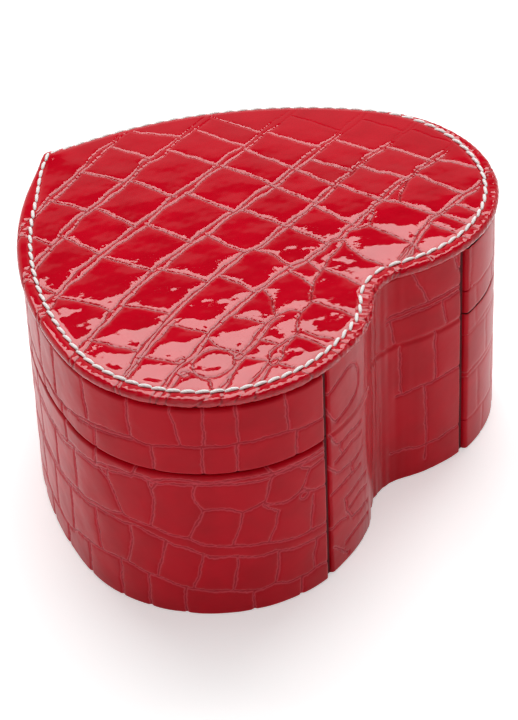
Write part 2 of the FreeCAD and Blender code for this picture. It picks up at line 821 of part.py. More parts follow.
def governor_frame():
    """Two upright plates on a floor, with a lug that holds the top of the worm."""
    body = new_body("governor_frame")
    arbor_hole = S.governor_arbor_radius + S.bearing_clearance
    worm_hole = S.worm_shaft_radius + S.bearing_clearance
    near = governor_place - S.bracket_eye
    far = worm_place + S.lug_half_width
    floor = sketch_on(body, "governor_floor", height=bed_top)
    rectangle(floor, inner_plate, near, outer_plate_end, far)
    circle(floor, worm_station, worm_place, worm_hole)
    pad(body, floor, S.governor_floor)
    inner = sketch_on(body, "governor_inner_plate", "YZ_Plane", inner_plate)
    rectangle(inner, -S.bracket_eye, bed_top, governor_place + S.bracket_eye, cylinder_axis + S.bracket_eye)
    circle(inner, 0, cylinder_axis, S.cylinder_arbor_radius + S.bearing_clearance)
    circle(inner, governor_place, cylinder_axis, arbor_hole)
    pad(body, inner, S.governor_plate)
    outer = sketch_on(body, "governor_outer_plate", "YZ_Plane", outer_plate)
    polygon(outer, [(near, bed_top), (far, bed_top), (far, lug_top),
                    (governor_place + S.bracket_eye, lug_top), (near, cylinder_axis + S.bracket_eye)])
    circle(outer, governor_place, cylinder_axis, arbor_hole)
    pad(body, outer, S.governor_plate)
    lug = sketch_on(body, "governor_lug", height=lug_under)
    rectangle(lug, worm_station - S.lug_half_width, worm_place - S.lug_half_width, outer_plate_end, far)
    circle(lug, worm_station, worm_place, worm_hole)
    pad(body, lug, S.lug_thickness)
    return at_barrel(body)


def stop_post():
    """A plate beside the stop lever that carries the lever's pin."""
    body = new_body("stop_post")
    face = worm_station - S.stop_lever_width / 2 - S.running_gap
    plate = sketch_on(body, "stop_post_plate", "YZ_Plane", face - S.stop_post_thickness)
    half = S.stop_lever_boss
    rectangle(plate, stop_pivot - half, bed_top, stop_pivot + half, stop_level)
    pad(body, plate, S.stop_post_thickness)
    eye = sketch_on(body, "stop_post_eye", "YZ_Plane", face - S.stop_post_thickness)
    circle(eye, stop_pivot, stop_level, half)
    pad(body, eye, S.stop_post_thickness)
    pin = sketch_on(body, "stop_post_pin", "YZ_Plane", face - S.stop_post_thickness)
    circle(pin, stop_pivot, stop_level, S.stop_pin_radius)
    pad(body, pin, S.stop_post_thickness + S.stop_lever_width + 2 * S.running_gap)
    return at_barrel(body)


heel_middle = -(comb_back - S.comb_heel / 2)
comb_screw_spots = (
    (comb_start + 2 * S.comb_screw_head_radius, heel_middle),
    (comb_start + comb_width - 2 * S.comb_screw_head_radius, heel_middle),
)
keep(bedplate())
upside_down = Rotation(Vector(1, 0, 0), 180)
movement_screws = []
for x, y in screw_spots:
    piece = screw("movement_screw", S.screw_radius, bed_top - board_under,
                  S.screw_head_radius, S.screw_head_height)
    movement_screws.append(set_place(piece, barrel_x + x, barrel_y + y, bed_top, upside_down))
keep_group("movement_screws", movement_screws)
keep(comb_base())
keep(comb())
comb_screws = []
for x, y in comb_screw_spots:
    piece = screw("comb_screw", S.comb_screw_radius, comb_top - bed_top,
                  S.comb_screw_head_radius, S.comb_screw_head_height)
    comb_screws.append(set_place(piece, barrel_x + x, barrel_y + y, bed_top))
keep_group("comb_screws", comb_screws)
keep(cylinder_bracket())
keep(governor_frame())
keep(stop_post())

# Winding: the key under the bottom and its arbor up through the barrel
hub_top = board_under - S.felt_thickness - S.running_gap
wing_level = S.key_ground_gap + S.key_wing_radius
stem_low = wing_level + S.key_web_height / 2 + S.running_gap
cap_spigot = S.barrel_cap_thickness
cap_top = barrel_top + S.barrel_cap_thickness
hook_low = crown_root + S.running_gap
hook_high = barrel_top - cap_spigot - S.running_gap


def winding_key():
    """A butterfly key: a turned hub with a flat web and two round pierced wings."""
    stem = S.key_stem_radius + S.glue_gap
    hub_low = hub_top - S.key_hub_height
    body = turned("winding_key", [(0, hub_low), (S.key_hub_radius, hub_low), (S.key_hub_radius, hub_top),
                                  (stem, hub_top), (stem, stem_low), (0, stem_low)])
    web = sketch_on(body, "key_web", "XZ_Plane")
    half = S.key_web_height / 2
    rectangle(web, -S.key_wing_centre, wing_level - half, S.key_wing_centre, wing_level + half)
    pad(body, web, S.key_thickness, symmetric=True)
    for side, word in ((-1, "left"), (1, "right")):
        wing = sketch_on(body, "key_wing_" + word, "XZ_Plane")
        circle(wing, side * S.key_wing_centre, wing_level, S.key_wing_radius)
        pad(body, wing, S.key_thickness, symmetric=True)
    holes = sketch_on(body, "key_holes", "XZ_Plane")
    for side in (-1, 1):
        circle(holes, side * S.key_wing_centre, wing_level, S.key_wing_hole)
    cut_through(body, holes)
    return at_barrel(body)


keep(winding_key())
arbor_low = stem_low + S.running_gap
arbor_high = cap_top + S.running_gap
keep(at_barrel(turned("winding_arbor", [
    (0, arbor_low), (S.key_stem_radius, arbor_low), (S.key_stem_radius, hub_top),
    (S.arbor_radius, hub_top), (S.arbor_radius, hook_low), (S.hook_radius, hook_low),
    (S.hook_radius, hook_high), (S.pivot_radius, hook_high), (S.pivot_radius, arbor_high), (0, arbor_high),
])))

# Spring barrel: a cup on a flange with a crown of upward teeth, its cap, and the spring coiled inside
TIP_SHARE = 0.28
ROOT_SHARE = 0.68
ROOT_SINK = 0.5


def spring_barrel():
    bore = S.arbor_radius + S.bearing_clearance
    inner = S.barrel_radius - S.barrel_wall
    body = turned("spring_barrel", [
        (bore, barrel_under), (crown_outer, barrel_under), (crown_outer, crown_root),
        (S.barrel_radius, crown_root), (S.barrel_radius, barrel_top),
        (inner, barrel_top), (inner, crown_root), (bore, crown_root),
    ])
    thickness = S.tooth_share * math.pi * S.crown_module
    tip = crown_root + (ADDENDUM + DEDENDUM) * S.crown_module
    sunk = crown_root - ROOT_SINK * S.crown_module
    tooth = sketch_on(body, "crown_tooth", "YZ_Plane", crown_inner)
    polygon(tooth, [(-ROOT_SHARE * thickness, sunk), (ROOT_SHARE * thickness, sunk),
                    (TIP_SHARE * thickness, tip), (-TIP_SHARE * thickness, tip)])
    around(body, pad(body, tooth, S.crown_face), S.crown_teeth)
    half_step = 180 / S.crown_teeth
    set_place(body, barrel_x, barrel_y, 0, Rotation(Vector(0, 0, 1), half_step.value))
    return bind(body, Placement__Rotation__Angle=half_step)


def mainspring():
    """A flat spiral strip of half circles about two centres, half a step apart."""
    half = S.mainspring_thickness.value / 2
    inner = S.hook_radius.value + S.running_gap.value + half
    outer = S.barrel_radius.value - S.barrel_wall.value - S.running_gap.value - half
    turns = int(S.mainspring_turns.value)
    step = (outer - inner) / (turns + 0.5)
    up = Vector(0, 0, 1)
    sides = []
    for shift in (-half, half):
        arcs = []
        for half_turn in range(2 * turns):
            centre = Vector(step / 2 * (half_turn % 2), 0, 0)
            radius = inner + step / 2 * half_turn + shift
            begin = math.pi * (half_turn % 2)
            arcs.append(Part.ArcOfCircle(Part.Circle(centre, up, radius), begin, begin + math.pi).toShape())
        sides.append(arcs)
    first, last = sides
    ends = [Part.makeLine(first[0].Vertexes[0].Point, last[0].Vertexes[0].Point),
            Part.makeLine(first[-1].Vertexes[1].Point, last[-1].Vertexes[1].Point)]
    face = Part.Face(Part.Wire(Part.__sortEdges__(first + last + ends)))
    piece = doc.addObject("Part::Feature", "mainspring")
    piece.Shape = face.extrude(Vector(0, 0, hook_high.value - hook_low.value))
    print("mainspring gap between turns", round(step - S.mainspring_thickness.value, 3))
    return set_place(piece, barrel_x, barrel_y, hook_low)


cap_bore = S.pivot_radius + S.bearing_clearance
cap_inner = S.barrel_radius - S.barrel_wall - S.glue_gap
keep(spring_barrel())
keep(at_barrel(turned("barrel_cap", [
    (cap_bore, barrel_top - cap_spigot), (cap_inner, barrel_top - cap_spigot), (cap_inner, barrel_top),
    (S.barrel_radius, barrel_top), (S.barrel_radius, cap_top), (cap_bore, cap_top),
])))
keep(mainspring())

# Cylinder: the pinned drum on its arbor, between the pinion that drives it and the wheel it drives


def add_wheel(body, name, pitch, module, count, low, width, bore=None, turn=0.0):
    """A toothed disc: teeth that taper to their tips, with one tooth at the given turn."""
    tooth_root = pitch - DEDENDUM * module
    tip = pitch + ADDENDUM * module
    thickness = S.tooth_share * math.pi * module
    disc = sketch_on(body, name + "_disc", height=low)
    circle(disc, 0, 0, tooth_root)
    if bore:
        circle(disc, 0, 0, bore)
    pad(body, disc, width)
    tooth = sketch_on(body, name + "_tooth", height=low, turn=turn)
    sunk = tooth_root - ROOT_SINK * module
    polygon(tooth, [(sunk, -ROOT_SHARE * thickness), (tip, -TIP_SHARE * thickness),
                    (tip, TIP_SHARE * thickness), (sunk, ROOT_SHARE * thickness)])
    around(body, pad(body, tooth, width), count)


# The tune: shares of a turn from one note's pins to the next, and a swing that keeps the beats uneven
TUNE_STEP = 0.618
TUNE_SWING = 0.08
SWING_PER_NOTE = 2.3
SWING_PER_BEAT = 1.7


def pinned_cylinder():
    """A brass drum with the tune in rows of small pins, one row to each comb tooth."""
    radius = S.cylinder_radius.value
    start = S.cylinder_start.value
    along = Vector(0, 0, 1)
    drum = Part.makeCylinder(radius, cylinder_length.value, Vector(0, 0, start), along)
    bore = S.cylinder_arbor_radius.value + S.glue_gap.value
    drum = drum.cut(Part.makeCylinder(bore, cylinder_length.value, Vector(0, 0, start), along))
    pins = []
    beats = int(S.pins_per_note.value)
    side = S.pin_width.value
    for note in range(int(S.notes.value)):
        height = comb_start.value + (note + 0.5) * S.note_pitch.value
        for beat in range(beats):
            swing = TUNE_SWING * math.sin(SWING_PER_NOTE * note + SWING_PER_BEAT * beat)
            share = beat / beats + TUNE_STEP * note + swing
            way = Vector(math.cos(2 * math.pi * share), math.sin(2 * math.pi * share), 0)
            pin = Part.makeBox(side, side, 2 * S.pin_height.value, Vector(-side / 2, -side / 2, 0))
            foot = way * (radius - S.pin_height.value) + along * height
            pin.Placement = Placement(foot, Rotation(along, way))
            pins.append(pin)
    piece = doc.addObject("Part::Feature", "pinned_cylinder")
    piece.Shape = drum.multiFuse(pins)
    return on_cylinder_axis(piece)


def cylinder_arbor():
    low = crown_inner - S.running_gap
    body = turned("cylinder_arbor", [(0, low), (S.cylinder_arbor_radius, low),
                                     (S.cylinder_arbor_radius, inner_plate_end), (0, inner_plate_end)])
    return on_cylinder_axis(body)


def arbor_wheel(name, pitch, module, count, low, width, turn):
    body = new_body(name)
    add_wheel(body, name, pitch, module, count, low, width, S.cylinder_arbor_radius + S.glue_gap, turn)
    return on_cylinder_axis(body)


keep(pinned_cylinder())
keep(cylinder_arbor())
keep(arbor_wheel("drive_pinion", drive_pitch, S.crown_module, S.drive_teeth,
                  drive_start, S.drive_face, 0.0))
keep(arbor_wheel("cylinder_gear", gear_pitch, S.train_module, S.cylinder_gear_teeth,
                  gear_start, S.train_face, 90.0))

# Governor: a wheel that turns the worm, and the fan on top of the worm that holds the speed steady


def governor_wheel():
    body = new_body("governor_wheel")
    low = gear_start - S.running_gap
    shaft = sketch_on(body, "governor_shaft", height=low)
    circle(shaft, 0, 0, S.governor_arbor_radius)
    pad(body, shaft, outer_plate_end - low)
    add_wheel(body, "governor_pinion", pinion_pitch, S.train_module, S.governor_pinion_teeth,
              gear_start, S.train_face, turn=270 + 180 / S.governor_pinion_teeth)
    add_wheel(body, "worm_wheel", worm_wheel_pitch, S.train_module, S.worm_wheel_teeth,
              worm_wheel_start, S.train_face, turn=90.0)
    return on_cylinder_axis(body, governor_place)


def governor_worm():
    """A single thread on an upright shaft, with a gap of the thread facing the wheel's tooth."""
    shaft = S.worm_shaft_radius
    foot = bed_top + S.running_gap
    thread_low = cylinder_axis - THREAD_BELOW * worm_pitch_height
    core_low = thread_low - worm_pitch_height / 2
    core_high = lug_under - S.running_gap
    top = fan_disc_top + S.fan_height
    body = turned("governor_worm", [
        (0, foot), (shaft, foot), (shaft, core_low), (worm_root, core_low),
        (worm_root, core_high), (shaft, core_high), (shaft, top), (0, top),
    ])
    thickness = S.tooth_share * worm_pitch_height
    wide = ROOT_SHARE * thickness
    narrow = TIP_SHARE * thickness
    sunk = worm_root - ROOT_SINK * S.train_module
    profile = sketch_on(body, "worm_thread", "YZ_Plane")
    polygon(profile, [(-sunk, thread_low - wide), (-worm_tip, thread_low - narrow),
                      (-worm_tip, thread_low + narrow), (-sunk, thread_low + wide)])
    thread = body.newObject("PartDesign::AdditiveHelix", "worm_helix")
    thread.Profile = profile
    thread.ReferenceAxis = (profile, ["V_Axis"])
    thread.Mode = "pitch-turns-angle"
    thread.Pitch = worm_pitch_height.value
    thread.Turns = S.worm_turns.value
    bind(thread, Pitch=worm_pitch_height, Turns=S.worm_turns)
    return at_barrel(body, worm_station, worm_place)


def governor_fan():
    """The fan: a brake disc with a hub and two upright wings."""
    body = new_body("governor_fan")
    bore = S.worm_shaft_radius + S.glue_gap
    hub_radius = 2 * S.worm_shaft_radius
    disc = sketch_on(body, "fan_disc", height=fan_under)
    circle(disc, 0, 0, S.fan_disc_radius)
    circle(disc, 0, 0, bore)
    pad(body, disc, S.fan_disc_thickness)
    hub = sketch_on(body, "fan_hub", height=fan_under)
    circle(hub, 0, 0, hub_radius)
    circle(hub, 0, 0, bore)
    pad(body, hub, S.fan_disc_thickness + S.fan_height)
    wing = sketch_on(body, "fan_wing", height=fan_disc_top)
    half = S.fan_wing_thickness / 2
    rectangle(wing, (bore + hub_radius) / 2, -half, S.fan_radius, half)
    around(body, pad(body, wing, S.fan_height), FAN_WINGS)
    return at_barrel(body, worm_station, worm_place)


keep(governor_wheel())
keep(governor_worm())
keep(governor_fan())

# Stop: the lid holds the plunger down, the plunger holds the lever's tail down, and its nose brakes the fan


def stop_lever():
    body = new_body("stop_lever")
    side = worm_station - S.stop_lever_width / 2
    half = S.stop_lever_thickness / 2
    arm = sketch_on(body, "stop_lever_arm", "YZ_Plane", side)
    rectangle(arm, stop_nose, stop_level - half, stop_pivot + S.stop_lever_tail, stop_level + half)
    pad(body, arm, S.stop_lever_width)
    boss = sketch_on(body, "stop_lever_boss", "YZ_Plane", side)
    circle(boss, stop_pivot, stop_level, S.stop_lever_boss)
    pad(body, boss, S.stop_lever_width)
    bore = sketch_on(body, "stop_lever_bore", "YZ_Plane")
    circle(bore, stop_pivot, stop_level, S.stop_pin_radius + S.bearing_clearance)
    cut_through(body, bore)
    return at_barrel(body)


foot_top = plunger_foot_under + S.plunger_foot_height
cap_under = plunger_top - S.plunger_cap_height
guide_bore = S.plunger_radius + S.bearing_clearance
flange_radius = bush_radius + S.guide_flange
flange_top = tray_floor_top + S.guide_flange
guide_top = tray_floor_top + S.guide_height
keep(stop_lever())
keep(at_barrel(turned("stop_plunger", [
    (0, plunger_foot_under), (S.plunger_foot_radius, plunger_foot_under), (S.plunger_foot_radius, foot_top),
    (S.plunger_radius, foot_top), (S.plunger_radius, cap_under), (S.plunger_cap_radius, cap_under),
    (S.plunger_radius, plunger_top), (0, plunger_top),
]), worm_station, plunger_place))
keep(at_barrel(turned("plunger_guide", [
    (guide_bore, tray_under), (bush_radius, tray_under), (bush_radius, tray_floor_top),
    (flange_radius, tray_floor_top), (flange_radius, flange_top), (bush_radius, flange_top),
    (bush_radius, guide_top), (guide_bore, guide_top),
]), worm_station, plunger_place))

# Check every object before anything is written
doc.recompute()
for obj in doc.Objects:
    if "Invalid" in obj.State or "Error" in obj.State:
        raise RuntimeError("%s failed: %s" % (obj.Label, obj.State))
for obj in nodes:
    if obj.Shape.isNull() or not obj.Shape.isValid():
        raise RuntimeError("%s has no valid shape" % obj.Label)

os.makedirs("parts", exist_ok=True)
for obj in nodes:
    obj.Shape.exportStep("parts/%s.step" % obj.Label)
    print(obj.Label, len(obj.Shape.Solids), "solids", round(obj.Shape.Volume, 2), "mm3")
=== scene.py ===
# %% [markdown]
# # A heart-shaped wind up music box in red embossed leather
# The real box is a board box covered in glossy red leatherette that is pressed to look like crocodile hide.
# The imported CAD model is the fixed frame: it holds the boards, the tray and the musical movement, all in
# place. This lesson adds what CAD is poor at: the embossed leather, the thread, the lining and the light.

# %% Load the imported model
import math

import bpy
import numpy as np
from mathutils import Matrix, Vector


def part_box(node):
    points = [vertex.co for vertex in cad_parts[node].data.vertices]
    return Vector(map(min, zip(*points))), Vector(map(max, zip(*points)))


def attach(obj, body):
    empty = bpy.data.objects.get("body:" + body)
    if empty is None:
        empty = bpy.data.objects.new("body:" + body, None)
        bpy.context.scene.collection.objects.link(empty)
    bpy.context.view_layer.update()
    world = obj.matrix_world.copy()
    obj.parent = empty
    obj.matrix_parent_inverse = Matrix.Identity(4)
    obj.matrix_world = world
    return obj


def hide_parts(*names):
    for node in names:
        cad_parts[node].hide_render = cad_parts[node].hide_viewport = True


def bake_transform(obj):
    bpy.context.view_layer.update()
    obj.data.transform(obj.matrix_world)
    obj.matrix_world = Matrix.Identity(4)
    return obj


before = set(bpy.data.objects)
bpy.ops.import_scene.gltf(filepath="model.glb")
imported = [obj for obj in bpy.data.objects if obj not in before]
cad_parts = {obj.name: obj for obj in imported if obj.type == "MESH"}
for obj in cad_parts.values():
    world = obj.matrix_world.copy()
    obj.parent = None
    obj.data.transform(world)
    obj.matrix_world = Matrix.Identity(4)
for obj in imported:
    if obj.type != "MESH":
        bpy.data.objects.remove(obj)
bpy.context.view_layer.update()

MM = 0.001

# %% [markdown]
# ## The camera
# The photograph looks down on the cleft of the heart from behind the near lobe, through a long lens.
# Azimuth, elevation, roll and distance say where the camera stands, and a matrix with its right, up and back
# directions puts it there. That is safer than angles, because a small roll is easy to get wrong in Euler
# angles.

# %% Camera at the photograph's viewpoint
CAMERA_AZIMUTH, CAMERA_ELEVATION, CAMERA_ROLL = (math.radians(v) for v in (127.824, 37.169, -2.484))
CAMERA_DISTANCE = 759.343 * MM
CAMERA_TARGET = np.array((-1.226, 9.708, 27.30)) * MM
LENS_MM = 143.4


def facing(azimuth, elevation):
    """The level right, up and back directions of a camera or lamp that stands at that azimuth and elevation
    and faces the box: back points to where it stands, and up is square to the other two."""
    back = np.array((
        math.sin(azimuth) * math.cos(elevation),
        -math.cos(azimuth) * math.cos(elevation),
        math.sin(elevation),
    ))
    right = np.array((math.cos(azimuth), math.sin(azimuth), 0.0))
    return right, np.cross(back, right), back


def stand(name, data, axes, place):
    """An object of that camera or lamp data, its axes along those three directions, at a place in metres."""
    matrix = np.eye(4)
    matrix[:3, :3] = np.column_stack(axes)
    matrix[:3, 3] = place
    made = bpy.data.objects.new(name, data)
    bpy.context.scene.collection.objects.link(made)
    made.matrix_world = Matrix(matrix.tolist())
    return made


level_right, level_up, back = facing(CAMERA_AZIMUTH, CAMERA_ELEVATION)
right = math.cos(CAMERA_ROLL) * level_right + math.sin(CAMERA_ROLL) * level_up
camera_data = bpy.data.cameras.new("camera")
camera_data.lens = LENS_MM
camera_place = CAMERA_TARGET + CAMERA_DISTANCE * back
camera = stand("camera", camera_data, (right, np.cross(back, right), back), camera_place)
bpy.context.scene.camera = camera
bpy.context.scene.view_settings.view_transform = "Standard"
print("camera at", np.round(camera_place, 3), "m")

# %% [markdown]
# ## The heart's outline
# Every leather piece follows the same heart: two lobes, two long side arcs that meet at the tip, and a small
# arc in the cleft. All five are tangent, so a point can be moved straight out or in along the arc's radius.
# The tip is a corner; leather can't turn a corner sharply, so a sixth arc of no radius sits there, and it
# opens into a small round nose as soon as the leather's thickness is added.

# %% The outline as arcs, and a walk along it
HEART_WIDTH, HEART_LENGTH = 140.0, 116.3
LOBE_RADIUS, SIDE_RADIUS, CLEFT_RADIUS = 39.6, 108.8, 14.1


def heart_arcs(inset, out):
    """The outline moved in by inset, as arcs from the tip round by the right lobe: centre, radius, the side
    that is outward (+1 away from the centre), first and last angle, and path lengths measured at the offset
    out."""
    lobe = np.array((HEART_WIDTH / 2 - LOBE_RADIUS, HEART_LENGTH / 2 - LOBE_RADIUS))
    tip = np.array((0.0, -HEART_LENGTH / 2))
    reach = np.linalg.norm(lobe - tip)
    along = (lobe - tip) / reach
    ahead = (SIDE_RADIUS**2 - (SIDE_RADIUS - LOBE_RADIUS) ** 2 + reach**2) / (2 * reach)
    aside = math.sqrt(SIDE_RADIUS**2 - ahead**2)
    side = tip + ahead * along + aside * np.array((-along[1], along[0]))
    cleft = np.array((0.0, lobe[1] + math.sqrt((LOBE_RADIUS + CLEFT_RADIUS) ** 2 - lobe[0] ** 2)))
    corner = np.array((0.0, side[1] - math.sqrt((SIDE_RADIUS - inset) ** 2 - side[0] ** 2)))
    flip = np.array((-1.0, 1.0))
    at_tip = math.atan2(corner[1] - side[1], corner[0] - side[0])
    at_lobe = math.atan2(lobe[1] - side[1], lobe[0] - side[0])
    at_cleft = math.atan2(cleft[1] - lobe[1], cleft[0] - lobe[0])
    half = math.pi / 2
    rows = [
        (corner, 0.0, 1, -half, at_tip),
        (side, SIDE_RADIUS - inset, 1, at_tip, at_lobe),
        (lobe, LOBE_RADIUS - inset, 1, at_lobe, at_cleft),
        (cleft, CLEFT_RADIUS + inset, -1, at_cleft - math.pi, -at_cleft),
        (lobe * flip, LOBE_RADIUS - inset, 1, math.pi - at_cleft, math.pi - at_lobe),
        (side * flip, SIDE_RADIUS - inset, 1, math.pi - at_lobe, math.pi - at_tip),
        (corner, 0.0, 1, math.pi - at_tip, 3 * half),
    ]
    arcs = {
        "centre": np.array([row[0] for row in rows]),
        "radius": np.array([row[1] for row in rows]),
        "outward": np.array([row[2] for row in rows], float),
        "first": np.array([row[3] for row in rows]),
        "last": np.array([row[4] for row in rows]),
    }
    arcs["length"] = (arcs["radius"] + arcs["outward"] * out) * np.abs(arcs["last"] - arcs["first"])
    arcs["start"] = np.concatenate(([0.0], np.cumsum(arcs["length"])))
    return arcs


def walk(arcs, path, out):
    """The points at path length path, moved outward by out, and the outward directions there: the arc's
    centre plus its radius, grown by out, times the direction of the angle reached along the arc."""
    path, out = np.broadcast_arrays(np.mod(path, arcs["start"][-1]), np.asarray(out, float))
    k = np.clip(np.searchsorted(arcs["start"], path, side="right") - 1, 0, len(arcs["radius"]) - 1)
    share = (path - arcs["start"][k]) / arcs["length"][k]
    angle = arcs["first"][k] + share * (arcs["last"][k] - arcs["first"][k])
    ray = np.stack((np.cos(angle), np.sin(angle)), -1)
    radius = arcs["radius"][k] + arcs["outward"][k] * out
    return arcs["centre"][k] + radius[..., None] * ray, arcs["outward"][k][..., None] * ray


outline = heart_arcs(0.0, 0.0)
print("outline", round(outline["start"][-1], 1), "mm round")

# %% [markdown]
# ## Levels
# The heights of the leather pieces come from the CAD nodes that they stand for, so the two models agree.

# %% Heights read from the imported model


def heights(node):
    """The lowest and the highest point of a CAD node, in millimetres."""
    low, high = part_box(node)
    return low.z / MM, high.z / MM


LIP_BOTTOM, LID_TOP = heights("lid_top_cover")
FOOT = 0.05
LID_BAND, BASE_BAND = heights("lid_side_cover"), (FOOT, heights("base_side_cover")[1])
STRIP_BAND = (FOOT, heights("hinge_strip_lid")[1])
SPLIT = (heights("hinge_strip_base")[1] + heights("hinge_strip_lid")[0]) / 2
print("lid top", round(LID_TOP, 2), "mm, split between lid and base", round(SPLIT, 2), "mm up")

# %% [markdown]
# ## Meshes from arrays
# A surface here is a grid of points worked out with numpy as one array. A few small functions turn such
# arrays into Blender meshes: faces of a grid, the mesh itself, waves for natural unevenness, and stations
# that put more grid lines where an edge is turned over or where the camera is close.

# %% Grid faces, meshes, ripples and stations


def grid_faces(index, wrap=False):
    """Quads of a grid of vertex numbers; wrap closes the last row onto the first."""
    rows = np.vstack((index, index[:1])) if wrap else index
    return np.stack((rows[:-1, :-1], rows[1:, :-1], rows[1:, 1:], rows[:-1, 1:]), -1).reshape(-1, 4)


def copied_faces(faces, count, size):
    """The faces of count copies of one mesh of size points, where the copies' points follow one another."""
    return (faces[None] + (np.arange(count) * size)[:, None, None]).reshape(-1, 4)


def make_piece(name, points, faces, material, values=None):
    """A smooth mesh object from points in millimetres and a list of face arrays, quads or triangles. Each
    entry of values is one number a point, kept as a mesh attribute for the shader."""
    mesh = bpy.data.meshes.new(name)
    corners = np.concatenate([part.ravel() for part in faces]).astype(np.int32)
    sizes = np.concatenate([np.full(len(part), part.shape[1]) for part in faces])
    mesh.vertices.add(len(points))
    mesh.vertices.foreach_set("co", (np.asarray(points, float) * MM).astype(np.float32).ravel())
    mesh.loops.add(len(corners))
    mesh.loops.foreach_set("vertex_index", corners)
    mesh.polygons.add(len(sizes))
    mesh.polygons.foreach_set("loop_start", (np.cumsum(sizes) - sizes).astype(np.int32))
    mesh.update(calc_edges=True)
    mesh.polygons.foreach_set("use_smooth", np.ones(len(sizes), bool))
    for key, value in (values or {}).items():
        mesh.attributes.new(key, "FLOAT", "POINT").data.foreach_set("value", value.astype(np.float32).ravel())
    mesh.validate()
    mesh.materials.append(material)
    piece = bpy.data.objects.new(name, mesh)
    bpy.context.scene.collection.objects.link(piece)
    print(name, len(mesh.vertices), "points,", len(mesh.polygons), "faces")
    return piece


GOLDEN_TURN = 2.399


def ripple(x, y, length, turn):
    """A smooth uneven wave, mostly between -1 and 1: 1.6 times the mean of five sine waves near one length,
    each turned by 137 degrees."""
    k = np.arange(5)
    angle = turn + GOLDEN_TURN * k
    step = 2 * math.pi / (length * (0.7 + 0.17 * k))
    phase = x[..., None] * np.cos(angle) * step + y[..., None] * np.sin(angle) * step + 1.7 * k + turn
    return np.sin(phase).mean(-1) * 1.6


def stations(first, last, step, turned, near=(0.0, 1.0)):
    """Places from first to last, step apart; in the last near[0] millimetres, near[1] apart; and in the
    turned millimetres at both ends, which may be a pair, closer still, on a quarter circle."""
    radius = np.broadcast_to(turned, 2)
    bend = 1 - np.cos(np.linspace(0, math.pi / 2, 7)[:-1])
    place = np.linspace(first + radius[0], last - radius[1], 8001)
    steps = np.where(place > last - near[0], near[1], step)
    count = np.concatenate(([0.0], np.cumsum(np.diff(place) / steps[1:])))
    middle = np.interp(np.linspace(0, count[-1], int(count[-1]) + 2), count, place)
    return np.concatenate((first + radius[0] * bend, middle, (last - radius[1] * bend)[::-1]))


def turned_edge(place, first, last, turned):
    """Height share of a turned leather edge: a quarter circle that rises from 0 at either end to 1. Where
    turned is a pair, it is the radius at the first and at the last end."""
    radius = np.broadcast_to(turned, 2)
    near = np.clip(np.minimum((place - first) / radius[0], (last - place) / radius[1]), 0, 1)
    return np.sqrt(1 - (1 - near) ** 2)


def heart_grid(arcs, rings, out):
    """A square grid laid on the heart: each ring of the square is a smaller copy of the outline moved by
    out. Returns the plan points, each point's ring from 0 to 1, the vertex numbers, and the border's vertex
    numbers in order with their path lengths."""
    i, j = np.meshgrid(np.arange(-rings, rings + 1), np.arange(-rings, rings + 1), indexing="ij")
    ring = np.maximum(np.abs(i), np.abs(j))
    safe = np.maximum(ring, 1)
    side = np.select([j == -ring, i == ring, j == ring], [i / safe, 2 + j / safe, 4 - i / safe], 6 - j / safe)
    path = np.mod((side + 1) / 8, 1) * arcs["start"][-1]
    xy = walk(arcs, path, out)[0] * (ring / rings)[..., None]
    numbers = np.arange(i.size).reshape(i.shape)
    border = np.flatnonzero(ring.ravel() == rings)
    border = border[np.argsort(path.ravel()[border])]
    return xy, ring / rings, numbers, border, path.ravel()[border]


# %% [markdown]
# ## The crocodile embossing
# The pattern is pressed into the leather by a heated plate: soft flat scales, with narrow creases between
# them. A texture map could show it, but then the gloss would not break at the creases. Here each crease is a
# path on the flat leather, and every point of the surface sinks by its distance to the nearest path, so the
# shine, the silhouette and the mesh itself all have the scales.

# %% Paths, distances and the pressed height


def smooth_path(corners, step=1.5):
    """A path through the corners: a Catmull-Rom curve, cut into runs of about one step."""
    p = np.asarray(corners, float)
    p = np.vstack((2 * p[0] - p[1], p, 2 * p[-1] - p[-2]))
    pieces = []
    for a, b, c, d in zip(p[:-3], p[1:-2], p[2:-1], p[3:]):
        t = np.linspace(0, 1, max(2, int(np.linalg.norm(c - b) / step) + 1))[:-1, None]
        pieces.append(0.5 * (2 * b + (c - a) * t + (2 * a - 5 * b + 4 * c - d) * t**2
                             + (3 * b - a - 3 * c + d) * t**3))
    return np.vstack((*pieces, p[-2:-1]))


def oval(x, y, wide, high):
    """A closed path round a rounded scale: an ellipse of those half sizes."""
    angle = np.linspace(0, 2 * math.pi, 25)
    return np.column_stack((x + wide * np.cos(angle), y + high * np.sin(angle)))


def twin(path, gap):
    """Two paths on either side of one, gap apart on average, that come together and part like a double
    crease."""
    p = smooth_path(path)
    run = np.gradient(p, axis=0)
    side = np.column_stack((-run[:, 1], run[:, 0])) / np.linalg.norm(run, axis=1, keepdims=True)
    half = 0.5 * gap * (1 + 0.35 * np.sin(p[:, :1] * 0.31 + p[:, 1:] * 0.2))
    return [p + half * side, p - half * side]


def crease_distance(x, y, paths, reach):
    """Distance from each point to the nearest run of the paths, and reach where none is nearer than that."""
    flat_x, flat_y = x.ravel(), y.ravel()
    nearest = np.full(flat_x.size, reach)
    for path in paths:
        low, high = path.min(0) - reach, path.max(0) + reach
        inside_x = (flat_x > low[0]) & (flat_x < high[0])
        close = np.flatnonzero(inside_x & (flat_y > low[1]) & (flat_y < high[1]))
        px, py, best = flat_x[close], flat_y[close], nearest[close]
        for (x0, y0), (dx, dy) in zip(path[:-1], np.diff(path, axis=0)):
            t = np.clip(((px - x0) * dx + (py - y0) * dy) / max(dx * dx + dy * dy, 1e-9), 0, 1)
            best = np.minimum(best, np.hypot(px - x0 - t * dx, py - y0 - t * dy))
        nearest[close] = best
    return nearest.reshape(x.shape)


